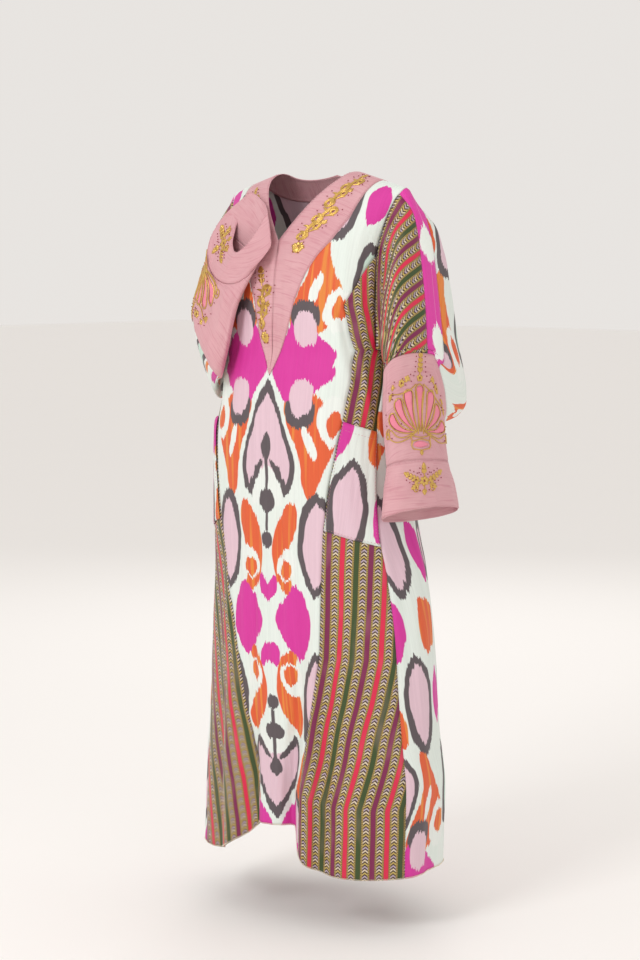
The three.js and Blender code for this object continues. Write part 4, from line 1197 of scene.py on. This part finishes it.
class Design:
    """An embroidery drawn in millimetres: couched cords, padded leaves, silk fillings and beads."""

    def __init__(self):
        self.cords, self.leaves, self.silks, self.beads = [], [], [], []

    def mirrored(self):
        """Adds the same again on the other side of the middle."""
        flip = np.array([-1.0, 1.0])
        self.cords += [line * flip for line in self.cords]
        self.leaves += [(line * flip, width) for line, width in self.leaves]
        self.silks += [(line * flip, width) for line, width in self.silks]
        self.beads += [tuple(np.array(spot) * flip) for spot in self.beads]
        return self

    def add(self, other, at=(0, 0), turn=0.0, scale=1.0):
        """Lays another design in this one."""
        c, s = scale * math.cos(math.radians(turn)), scale * math.sin(math.radians(turn))
        spin, at = np.array([[c, s], [-s, c]]), np.array(at, float)
        self.cords += [line @ spin + at for line in other.cords]
        self.leaves += [(line @ spin + at, width * scale) for line, width in other.leaves]
        self.silks += [(line @ spin + at, width * scale) for line, width in other.silks]
        self.beads += [tuple(np.array(spot, float) @ spin + at) for spot in other.beads]
        return self

    def leaf(self, root, tip, bulge=0.0, width=3.0):
        self.leaves.append((bow(root, tip, bulge, 9), LEAF_FULLNESS * width * leaf_shape(9)))

    def plume(self, root, tip, bulge, width, filled=True):
        """A feather shape outlined in cord, with its silk inside."""
        line = bow(root, tip, bulge, 22)
        shape = width * plume_shape(22)
        side = sideways(line) * shape[:, None]
        self.cords.append(np.concatenate([line + side, (line - side)[::-1]]))
        if filled:
            self.silks.append((line[2:-1], np.maximum(shape[2:-1] - SILK_MARGIN, 0.3)))


def bow(start, end, bulge, count):
    """A curved line between two points; bulge is its height as a share of the distance."""
    start, end = np.array(start, float), np.array(end, float)
    t = np.linspace(0, 1, count)[:, None]
    across = np.array([start[1] - end[1], end[0] - start[0]])
    return start + (end - start) * t + across * bulge * 4 * t * (1 - t)


def curl(centre, outer, inner, start, turns, count=26):
    """A spiral from the outside in, its angles in degrees."""
    t = np.linspace(0, 1, count)
    angle = np.radians(start + 360 * turns * t)
    radius = outer + (inner - outer) * t ** 0.8
    return np.array(centre, float) + radius[:, None] * np.stack([np.cos(angle), np.sin(angle)], 1)


def sideways(line):
    """The direction to the left of a line at each of its points."""
    run = np.gradient(line, axis=0)
    return np.stack([-run[:, 1], run[:, 0]], 1) / np.maximum(np.linalg.norm(run, axis=1), 1e-9)[:, None]


def leaf_shape(count):
    """Half widths of a leaf, as a share of its own half width, from root to tip."""
    t = np.linspace(0, 1, count)
    return np.sin(np.pi * t ** 0.8) ** 0.8 + 0.02


def plume_shape(count):
    """Half widths of a plume, narrow at its root and rounded at its tip."""
    t = np.linspace(0, 1, count)
    return 0.16 + 0.84 * t ** 1.3 * np.sqrt(np.maximum(1 - np.clip((t - 0.8) / 0.2, 0, 1) ** 2, 0)) / 0.75


def sprig(leaves, length, lean=38, size=9.0, width=2.4):
    """A twig along y with paired leaves and a bead between them."""
    made = Design()
    made.cords.append(bow((0, 0), (0, length), 0.04, 10))
    for k in range(leaves):
        y = length * (k + 0.6) / leaves
        for side in (-1, 1):
            reach = size * (1 - 0.35 * k / leaves)
            tip = (side * reach * math.sin(math.radians(lean)) + 0.5 * side, y + reach * math.cos(math.radians(lean)))
            made.leaf((0, y), tip, 0.1 * side, width)
            made.beads.append((side * (reach * 0.9 + 2.5), y + 1.5))
    made.leaf((0, length), (0, length + size), 0, width)
    return made


def blossom(petals, size):
    """A flower of slender petals round a bead."""
    made = Design()
    for k in range(petals):
        angle = 2 * math.pi * k / petals + 0.3
        tip = (size * math.cos(angle), size * math.sin(angle))
        made.leaf((0.15 * tip[0], 0.15 * tip[1]), tip, 0, 2.6)
    made.beads.append((0, 0))
    return made


def scroll(size, leaves):
    """A thick S of couched cord with curled ends and slender leaves on its back."""
    made = Design()
    body = np.concatenate([
        curl((0.2 * size, 0.8 * size), 0.25 * size, 0.09 * size, 180, -1.1, 20)[::-1],
        bow((-0.05 * size, 0.74 * size), (0.05 * size, 0.28 * size), -0.2, 10)[1:-1],
        curl((-0.2 * size, 0.22 * size), 0.25 * size, 0.09 * size, 0, -1.1, 20)])
    across = sideways(body) * np.sin(np.linspace(0.35, math.pi - 0.35, len(body)))[:, None]
    made.cords += [body + across * offset for offset in (-2.0, 0.0, 2.0)]
    for k in range(leaves):
        y = size * (0.25 + 0.5 * k / (leaves - 1))
        side = 1 if k % 2 else -1
        made.leaf((0, y), (side * 0.46 * size, y + 0.2 * size), 0.16 * side, 1.7)
        made.beads.append((side * 0.56 * size, y + 0.3 * size))
    made.beads += [(0.2 * size, 0.8 * size), (-0.2 * size, 0.22 * size)]
    return made


def basket_design():
    """A small footed basket from which plumes fan out, with a leafy finial and two garlands."""
    made = Design()
    for tip, bulge, width in (((-26, 96), 0.05, 9.5), ((-50, 84), 0.10, 10), ((-70, 62), 0.16, 9.5)):
        made.plume((-5 + 0.08 * tip[0], 24), tip, bulge, width)
    made.plume((-14, 22), (-76, 34), 0.22, 6.5, False)
    made.cords.append(curl((-80, 28), 11, 3, 60, 1.3))
    made.cords.append(bow((-8, 104), (-66, 96), 0.16, 18))
    made.add(blossom(6, 8), (-40, 108))
    for x, y, turn in ((-22, 110, 60), (-56, 104, 80), (-66, 96, 130), (-30, 108, -20)):
        made.add(sprig(1, 5, 40, 8, 2.2), (x, y), turn)
    made.leaf((-66, 96), (-76, 84), 0.1, 3.0)
    made.beads += [(-58, 34), (-66, 20), (-86, 66), (-84, 46), (-40, 40), (-62, 92), (-14, 118), (-32, 30)]
    made.mirrored()
    made.plume((0, 24), (0, 104), 0, 9)
    for x in (-15, 15):
        made.cords.append(bow((0.4 * x, 20), (0.5 * x, 92), 0.04 * np.sign(x), 12))
    foot = [(-20, 2), (-17, -4), (0, -7), (17, -4), (20, 2), (17, 9), (0, 12), (-17, 9), (-20, 2)]
    made.cords.append(np.array(foot, float))
    made.cords.append(bow((-22, 20), (22, 20), -0.12, 12))
    made.cords.append(bow((-20, 2), (-22, 20), -0.1, 6))
    made.cords.append(bow((20, 2), (22, 20), 0.1, 6))
    made.silks.append((bow((-16, 3), (16, 3), 0, 9), 5.5 * leaf_shape(9)))
    made.leaf((0, -7), (0, -16), 0, 3)
    made.add(sprig(4, 34, 34, 10, 2.6), (0, 118))
    made.add(blossom(5, 7), (0, 114))
    return made


def cuff_design():
    """A flower with a leafy twig to each side."""
    made = Design()
    made.add(sprig(4, 30, 42, 9, 2.3), (6, -2), -62)
    made.add(sprig(2, 12, 42, 8, 2.2), (8, -4), -110)
    made.cords.append(curl((16, -12), 7, 2, 120, -1.1))
    made.mirrored()
    made.add(blossom(6, 9))
    made.add(sprig(2, 14, 36, 8, 2.4), (0, 8))
    made.add(sprig(1, 8, 36, 7, 2.4), (0, -8), 180)
    return made


def band_design(length):
    """A vine of scrolls along y, ending in a flower."""
    made = Design()
    made.add(blossom(7, 10), (0, 8))
    for turn in (150, -150, 90, -90):
        made.add(sprig(1, 5, 40, 8, 2.2), (0, 8), turn)
    y, side = 22.0, 1
    while y < length - 34:
        made.add(scroll(34, 4), (0, y), 8 * side)
        if side > 0:
            made.add(sprig(1, 6, 38, 8, 2.2), (8, y + 30), -20)
        y, side = y + 33, -side
    made.add(sprig(3, 24, 36, 9, 2.3), (0, y))
    return made


def pad_mesh(line, width, ground, height, sides=8):
    """A low padded shape along a line: rings of points, and the faces that join them."""
    phase = np.linspace(0, 2 * math.pi, sides, endpoint=False)
    side = sideways(line)
    flat = line[:, None] + side[:, None] * (width[:, None] * np.cos(phase))[..., None]
    crown = np.minimum(width / max(width.max(), 1e-6) * 1.4, 1)[:, None]
    lift = np.where(np.sin(phase) > 0, height * np.sin(phase), 0.35 * np.sin(phase)) * crown + 0.1
    points = ground.lay(flat.reshape(-1, 2), lift.ravel())
    rows = len(line)
    faces = []
    for i in range(rows - 1):
        for j in range(sides):
            k = (j + 1) % sides
            faces.append((i * sides + j, i * sides + k, (i + 1) * sides + k, (i + 1) * sides + j))
    faces += [tuple(range(sides))[::-1], tuple(range((rows - 1) * sides, rows * sides))]
    return points, faces


def padded_piece(name, pads, height, material):
    """One mesh of padded shapes, each given as its line, its half widths and its ground."""
    points, faces, base = [], [], 0
    for line, width, ground in pads:
        more, quads = pad_mesh(line, width, ground, height)
        points.append(more)
        faces += [tuple(base + i for i in quad) for quad in quads]
        base += len(more)
    mesh = bpy.data.meshes.new(name)
    mesh.from_pydata(np.concatenate(points).tolist(), [], faces)
    work = bmesh.new()
    work.from_mesh(mesh)
    bmesh.ops.recalc_face_normals(work, faces=work.faces)
    for face in work.faces:
        face.smooth = True
    work.to_mesh(mesh)
    work.free()
    mesh.materials.append(material)
    return new_object(name, mesh)


def lines_object(name, lines):
    """A mesh of edges only, one chain for each line of points in metres."""
    points, edges, base = [], [], 0
    for line in lines:
        points.append(line)
        edges += [(base + k, base + k + 1) for k in range(len(line) - 1)]
        base += len(line)
    mesh = bpy.data.meshes.new(name)
    mesh.from_pydata(np.concatenate(points).tolist(), edges, [])
    return new_object(name, mesh)


# ---------------------------------------------------------------- Geometry Nodes

class Recipe:
    """A geometry node tree with named inputs, run on an object and turned into its plain mesh."""

    def __init__(self, name, inputs):
        self.tree = bpy.data.node_groups.new(name, "GeometryNodeTree")
        self.keys = {}
        self.socket("Geometry", "NodeSocketGeometry", "INPUT")
        for label, kind in inputs:
            self.keys[label] = self.socket(label, kind, "INPUT").identifier
        self.socket("Geometry", "NodeSocketGeometry", "OUTPUT")
        self.start = self.tree.nodes.new("NodeGroupInput")

    def socket(self, label, kind, way):
        return self.tree.interface.new_socket(label, in_out=way, socket_type=kind)

    def node(self, kind, inputs=(), **settings):
        made = self.tree.nodes.new(kind)
        for key, value in settings.items():
            setattr(made, key, value)
        for key, value in dict(inputs).items():
            if isinstance(value, bpy.types.NodeSocket):
                self.tree.links.new(value, made.inputs[key])
            else:
                made.inputs[key].default_value = value
        return made

    def given(self, label):
        return self.start.outputs[label]

    def finish(self, geometry):
        whole = self.node("GeometryNodeRealizeInstances", {0: geometry})
        dressed = self.node("GeometryNodeSetMaterial", {"Geometry": whole.outputs[0],
                                                        "Material": self.given("Finish")})
        end = self.tree.nodes.new("NodeGroupOutput")
        self.tree.links.new(dressed.outputs[0], end.inputs[0])
        return self

    def make(self, target, **values):
        change = target.modifiers.new("recipe", "NODES")
        change.node_group = self.tree
        for label, key in self.keys.items():
            change[key] = values[label.lower().replace(" ", "_")]
        return plain_mesh(target)


def cord_recipe():
    """Round cord along every chain of edges."""
    recipe = Recipe("couched_cord", [("Radius", "NodeSocketFloat"), ("Step", "NodeSocketFloat"),
                                     ("Finish", "NodeSocketMaterial")])
    chain = recipe.node("GeometryNodeMeshToCurve", {0: recipe.given("Geometry")})
    even = recipe.node("GeometryNodeResampleCurve", {"Curve": chain.outputs[0], "Length": recipe.given("Step")},
                       mode="LENGTH")
    ring = recipe.node("GeometryNodeCurvePrimitiveCircle", {"Resolution": 7, "Radius": recipe.given("Radius")})
    tube = recipe.node("GeometryNodeCurveToMesh", {"Curve": even.outputs[0], "Profile Curve": ring.outputs[0],
                                                   "Fill Caps": True})
    return recipe.finish(tube.outputs[0])


def bead_recipe():
    """A small bead on every point."""
    recipe = Recipe("beads", [("Radius", "NodeSocketFloat"), ("Finish", "NodeSocketMaterial")])
    bead = recipe.node("GeometryNodeMeshIcoSphere", {"Radius": recipe.given("Radius"), "Subdivisions": 2})
    spots = recipe.node("GeometryNodeInstanceOnPoints", {"Points": recipe.given("Geometry"),
                                                         "Instance": bead.outputs[0]})
    return recipe.finish(spots.outputs[0])


def stitch_recipe():
    """A short rounded stitch at every step along each chain of edges."""
    recipe = Recipe("stitches", [("Radius", "NodeSocketFloat"), ("Length", "NodeSocketFloat"),
                                 ("Spacing", "NodeSocketFloat"), ("Lean", "NodeSocketFloat"),
                                 ("Finish", "NodeSocketMaterial")])
    chain = recipe.node("GeometryNodeMeshToCurve", {0: recipe.given("Geometry")})
    even = recipe.node("GeometryNodeResampleCurve", {"Curve": chain.outputs[0], "Length": recipe.given("Spacing")},
                       mode="LENGTH")
    body = recipe.node("GeometryNodeMeshIcoSphere", {"Radius": 1.0, "Subdivisions": 1})
    half = recipe.node("ShaderNodeMath", {0: recipe.given("Length"), 1: 0.5}, operation="MULTIPLY")
    size = recipe.node("ShaderNodeCombineXYZ", {0: recipe.given("Radius"), 1: recipe.given("Radius"),
                                                2: half.outputs[0]})
    shaped = recipe.node("GeometryNodeTransform", {"Geometry": body.outputs[0], "Scale": size.outputs[0]})
    tangent = recipe.node("GeometryNodeInputTangent")
    aim = recipe.node("FunctionNodeAlignEulerToVector", {"Vector": tangent.outputs[0]}, axis="Z")
    lean = recipe.node("ShaderNodeCombineXYZ", {0: recipe.given("Lean")})
    turned_aim = recipe.node("FunctionNodeRotateEuler", {"Rotation": aim.outputs[0], "Rotate By": lean.outputs[0]},
                             space="LOCAL")
    spots = recipe.node("GeometryNodeInstanceOnPoints", {
        "Points": even.outputs[0], "Instance": shaped.outputs[0], "Rotation": turned_aim.outputs[0]})
    return recipe.finish(spots.outputs[0])


CLOTHS = {
    "warp_ikat": ikat_finish,
    "striped_brocade": stripes_finish,
    "magenta_strip": magenta_finish,
    "rose_slub": rose_finish,
}
# Two shades and the surface of each thread, silk and bead; the second shade of the gold, the silk and the beads is
# lit, a painted highlight
THREADS = {
    "gold_cord": ("gilt", "gilt_highlight", {"Metallic": 0.85, "Roughness": 0.34}),
    "pink_silk": ("silk", "silk_highlight", {"Roughness": 0.4}),
    "maroon_bead": ("bead", "bead_highlight", {"Roughness": 0.18, "Coat_Weight": 0.6}),
    "pale_overlock": ("pale_thread", "cream", {"Roughness": 0.7}),
    "rose_thread": ("rose_deep", "rose", {"Roughness": 0.6}),
}


def finish_of(name):
    """The named finish, built the first time that a piece asks for it."""
    made = bpy.data.materials.get(name)
    if made is None:
        colours, sizes = bpy.context.scene.dress_colours, bpy.context.scene.dress_sizes
        if name in THREADS:
            low, high, surface = THREADS[name]
            made = thread_finish(name, rgb(getattr(colours, low)), rgb(getattr(colours, high)), **surface)
        else:
            made = CLOTHS[name](colours, sizes)
    return made


def sew(node, patches, finish):
    """Makes one piece of cloth and puts it in its CAD solid's place."""
    made = cloth_piece(f"{node}_cloth", patches, finish_of(finish), bpy.context.scene.dress_sizes)
    wear(made, node)


# ---------------------------------------------------------------- operators

def degrees(start, stop):
    """Turns of the columns round a sleeve."""
    return np.linspace(start, stop, max(3, int(abs(stop - start) / SLEEVE_TURN) + 1))


def moved(patches, aside=0.0, shift=0.0):
    """Lays a piece's cut elsewhere on its striped or figured cloth."""
    for patch in patches:
        patch.across = patch.across + aside
        patch.length = patch.length + shift
    return patches


class DRESS_OT_panels(bpy.types.Operator):
    """Makes the front and back panels of ikat"""
    bl_idname = "dress.panels"
    bl_label = "Front and back panels"

    def execute(self, context):
        sew("front_panel", front_patches(), "warp_ikat")
        sew("back_panel", back_patches(), "warp_ikat")
        return {"FINISHED"}


class DRESS_OT_gores(bpy.types.Operator):
    """Makes the striped side gores"""
    bl_idname = "dress.gores"
    bl_label = "Side gores"

    def execute(self, context):
        for which in SIDE:
            sew(f"side_gore_{which}", gore_patches(which), "striped_brocade")
        return {"FINISHED"}


class DRESS_OT_pockets(bpy.types.Operator):
    """Makes the patch pockets on the side gores"""
    bl_idname = "dress.pockets"
    bl_label = "Patch pockets"

    def execute(self, context):
        for which in SIDE:
            sew(f"pocket_{which}", moved(pocket_patches(which), *POCKET_LAY[which]), "warp_ikat")
        return {"FINISHED"}


class DRESS_OT_neckband(bpy.types.Operator):
    """Makes the two halves of the neckband"""
    bl_idname = "dress.neckband"
    bl_label = "Neckband"

    def execute(self, context):
        for which in SIDE:
            sew(f"neckband_{which}", band_patches(which), "rose_slub")
        return {"FINISHED"}


class DRESS_OT_sleeves(bpy.types.Operator):
    """Makes the pieced upper sleeves, the lower sleeves and the cuffs"""
    bl_idname = "dress.sleeves"
    bl_label = "Sleeves"

    def execute(self, context):
        for which in SIDE:
            sleeve = Sleeve(which)
            elbow, wrist, end = sleeve.seams
            strip = degrees(sleeve.strip_back - 360, sleeve.strip_front)
            gore = degrees(sleeve.strip_front, sleeve.gore_end)
            back = degrees(sleeve.gore_end, sleeve.strip_back)
            tube = degrees(0, 360)
            for part, turns, first, last, across_is_round, finish in (
                ("sleeve_strip", strip, 0, elbow, True, "magenta_strip"),
                ("sleeve_gore", gore, 0, elbow, False, "striped_brocade"),
                ("sleeve_back", back, 0, elbow, True, "warp_ikat"),
                ("lower_sleeve", tube, elbow, wrist, True, "rose_slub"),
                ("cuff", tube, wrist, end, True, "rose_slub"),
            ):
                lay = SLEEVE_LAY.get((part, which), (0, 0))
                sew(f"{part}_{which}", moved([sleeve.patch(turns, first, last, across_is_round)], *lay), finish)
        return {"FINISHED"}


def surface_out(place):
    """Outward directions of a surface of the body, which is round the origin."""
    def out(u, v):
        across = place(u + 0.01, v) - place(u - 0.01, v)
        down = place(u, v + 0.5) - place(u, v - 0.5)
        normal = np.cross(across, down)
        spot = place(u, v)
        inward = (normal[..., :2] * spot[..., :2]).sum(-1) < 0
        normal[inward] *= -1
        return normal / np.maximum(np.linalg.norm(normal, axis=-1, keepdims=True), 1e-9)
    return out


def band_ground(which, height, full_at, share=0.5):
    """The front of a neckband round a place given by its height and its share of the width."""
    def place(u, v):
        return band_front_point(which, -v, u)
    return Ground(place, surface_out(place), (share, -height), (-V_TIP, 1.0, 0.1), full_at=-full_at)


def sleeve_ground(which, turn, ring):
    """The lower sleeve and cuff round a place given by its turn and ring."""
    sleeve = Sleeve(which)
    reach = (sleeve.seams[2], sleeve.seams[0], 25.0)
    return Ground(sleeve.place, sleeve.out, (turn, ring), reach)


def embroidery():
    """Each design with the cloth that it lies on."""
    return [
        (Design().add(basket_design(), scale=BASKET_SCALE[which]), sleeve_ground(which, *BASKET_PLACE[which]))
        for which in SIDE
    ] + [
        (Design().add(cuff_design(), scale=CUFF_SCALE), sleeve_ground(which, *CUFF_PLACE[which])) for which in SIDE
    ] + [
        (Design().add(band_design(length / BAND_SCALE), scale=BAND_SCALE), band_ground(which, height, full_at))
        for which, height, full_at, length in BAND_PLACES
    ]


class DRESS_OT_goldwork(bpy.types.Operator):
    """Couches the gold cord, and pads the leaves and silk fillings"""
    bl_idname = "dress.goldwork"
    bl_label = "Goldwork"

    def execute(self, context):
        sizes = context.scene.dress_sizes
        work = embroidery()
        lines = [ground.lay(line, CORD_LIFT) for design, ground in work for line in design.cords]
        gilt = finish_of("gold_cord")
        cord = lines_object("gold_cord", lines)
        dress_up(cord_recipe().make(cord, radius=sizes.cord, step=CORD_STEP * MM, finish=gilt))
        leaves = [(*leaf, ground) for design, ground in work for leaf in design.leaves]
        dress_up(padded_piece("gold_leaves", leaves, LEAF_HEIGHT, gilt))
        silks = [(*silk, ground) for design, ground in work for silk in design.silks]
        dress_up(padded_piece("silk_filling", silks, SILK_HEIGHT, finish_of("pink_silk")))
        return {"FINISHED"}


class DRESS_OT_beads(bpy.types.Operator):
    """Sews the small maroon beads round the goldwork"""
    bl_idname = "dress.beads"
    bl_label = "Beads"

    def execute(self, context):
        sizes = context.scene.dress_sizes
        lift = sizes.bead_size / MM * BEAD_SINK
        spots = [ground.lay(np.array(design.beads, float), lift) for design, ground in embroidery()]
        mesh = bpy.data.meshes.new("beads")
        mesh.from_pydata(np.concatenate(spots).tolist(), [], [])
        beads = new_object("beads", mesh)
        dress_up(bead_recipe().make(beads, radius=sizes.bead_size, finish=finish_of("maroon_bead")))
        return {"FINISHED"}


def body_line(angles, height, lift):
    """A line round the body, a little outside the cloth, in metres."""
    return lifted(body_point(angles, np.full(len(angles), float(height))), lift) * MM


class DRESS_OT_stitches(bpy.types.Operator):
    """Sews the visible stitches: hem, neckband, pockets and cuffs"""
    bl_idname = "dress.stitches"
    bl_label = "Stitches"

    def execute(self, context):
        sizes = context.scene.dress_sizes
        hem = [body_line(np.linspace(0, 360, 600), HEM + 2.0, STITCH_LIFT)]
        dress_up(stitch_recipe().make(
            lines_object("hem_overlock", hem), radius=sizes.sewing * 1.6, length=sizes.stitch * 1.1,
            spacing=sizes.stitch_gap * 0.34, lean=1.1, finish=finish_of("pale_overlock")))
        rows = []
        for which in SIDE:
            ground = band_ground(which, -200, -200)
            for share in (0.03, 0.97):
                heights = np.linspace(V_TIP + 12 if share < 0.5 else V_BOTTOM, -4, 90)
                shares = np.full(90, share)
                rows.append((ground.place(shares, -heights) + ground.out(shares, -heights) * STITCH_LIFT) * MM)
            sleeve = Sleeve(which)
            for ring in (sleeve.seams[1] + 0.035, sleeve.seams[2] - 0.08):
                turns = np.linspace(0, 360, 120)
                rings = np.full(120, float(ring))
                rows.append((sleeve.place(turns, rings) + sleeve.out(turns, rings) * STITCH_LIFT) * MM)
            rows += pocket_lines(which)
        dress_up(stitch_recipe().make(
            lines_object("topstitching", rows), radius=sizes.sewing, length=sizes.stitch,
            spacing=sizes.stitch_gap, lean=0.0, finish=finish_of("rose_thread")))
        return {"FINISHED"}


def dress_up(made):
    """A finished trimming rides with the dress."""
    for face in made.data.polygons:
        face.use_smooth = True
    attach(made, "root")


class DRESS_OT_stage(bpy.types.Operator):
    """Sets out the floor, the studio light and the camera"""
    bl_idname = "dress.stage"
    bl_label = "Studio"

    def execute(self, context):
        scene = context.scene
        mesh = bpy.data.meshes.new("floor")
        corners = [(x * FLOOR_HALF, y * FLOOR_HALF, FLOOR) for x, y in ((-1, -1), (1, -1), (1, 1), (-1, 1))]
        mesh.from_pydata(corners, [], [(0, 1, 2, 3)])
        floor = new_object("floor", mesh)
        paper = Finish("floor_paper", Roughness=0.85)
        place = paper.node("ShaderNodeTexCoord").outputs["Object"]
        grain = paper.node("ShaderNodeTexNoise", {"Vector": place, "Scale": 3.0}).outputs[0]
        base = rgb(scene.dress_colours.floor)
        tone = paper.mix(paper.math("MULTIPLY", grain, 0.12), base, tuple(0.93 * c for c in base))
        paper.feed(paper.shader.inputs["Base Color"], tone)
        mesh.materials.append(paper.material)

        world = bpy.data.worlds.new("studio")
        world.use_nodes = True
        sky = world.node_tree.nodes["Background"]
        sky.inputs["Color"].default_value = SKY_COLOUR
        sky.inputs["Strength"].default_value = SKY_STRENGTH
        scene.world = world
        for name, power, size, spot in STUDIO_LIGHTS:
            light = bpy.data.lights.new(name, "AREA")
            light.energy, light.size = power, size
            lamp = new_object(name, light)
            lamp.location = spot
            lamp.rotation_mode = "QUATERNION"
            lamp.rotation_quaternion = (Vector(STUDIO_AIM) - lamp.location).to_track_quat("-Z", "Y")

        lens = bpy.data.cameras.new("camera")
        lens.lens, lens.sensor_width = CAMERA_LENS, 36
        camera = new_object("camera", lens)
        turn = math.radians(CAMERA_TURN)
        camera.location = (CAMERA_FAR * math.sin(turn), -CAMERA_FAR * math.cos(turn), CAMERA_HEIGHT)
        camera.rotation_mode = "QUATERNION"
        camera.rotation_quaternion = (Vector(CAMERA_AIM) - camera.location).to_track_quat("-Z", "Y")
        scene.camera = camera
        scene.view_settings.view_transform = "Standard"
        return {"FINISHED"}


STEPS = (
    DRESS_OT_stage, DRESS_OT_panels, DRESS_OT_gores, DRESS_OT_pockets, DRESS_OT_neckband, DRESS_OT_sleeves,
    DRESS_OT_goldwork, DRESS_OT_beads, DRESS_OT_stitches,
)


class DRESS_PT_pieces(bpy.types.Panel):
    """Lists the pieces of the dress"""
    bl_idname = "DRESS_PT_pieces"
    bl_label = "Ikat dress"
    bl_space_type = "VIEW_3D"
    bl_region_type = "UI"
    bl_category = "Dress"

    def draw(self, context):
        for step in STEPS:
            self.layout.operator(step.bl_idname)
        for group in (context.scene.dress_sizes, context.scene.dress_colours):
            for key in group.__annotations__:
                self.layout.prop(group, key)


CLASSES = (DressColours, DressSizes, *STEPS, DRESS_PT_pieces)


def register():
    for item in CLASSES:
        bpy.utils.register_class(item)
    bpy.types.Scene.dress_colours = PointerProperty(type=DressColours)
    bpy.types.Scene.dress_sizes = PointerProperty(type=DressSizes)


def unregister():
    del bpy.types.Scene.dress_sizes
    del bpy.types.Scene.dress_colours
    for item in reversed(CLASSES):
        bpy.utils.unregister_class(item)


def main():
    register()
    for step in STEPS:
        group, name = step.bl_idname.split(".")
        getattr(getattr(bpy.ops, group), name)()


if __name__ == "__main__":
    main()
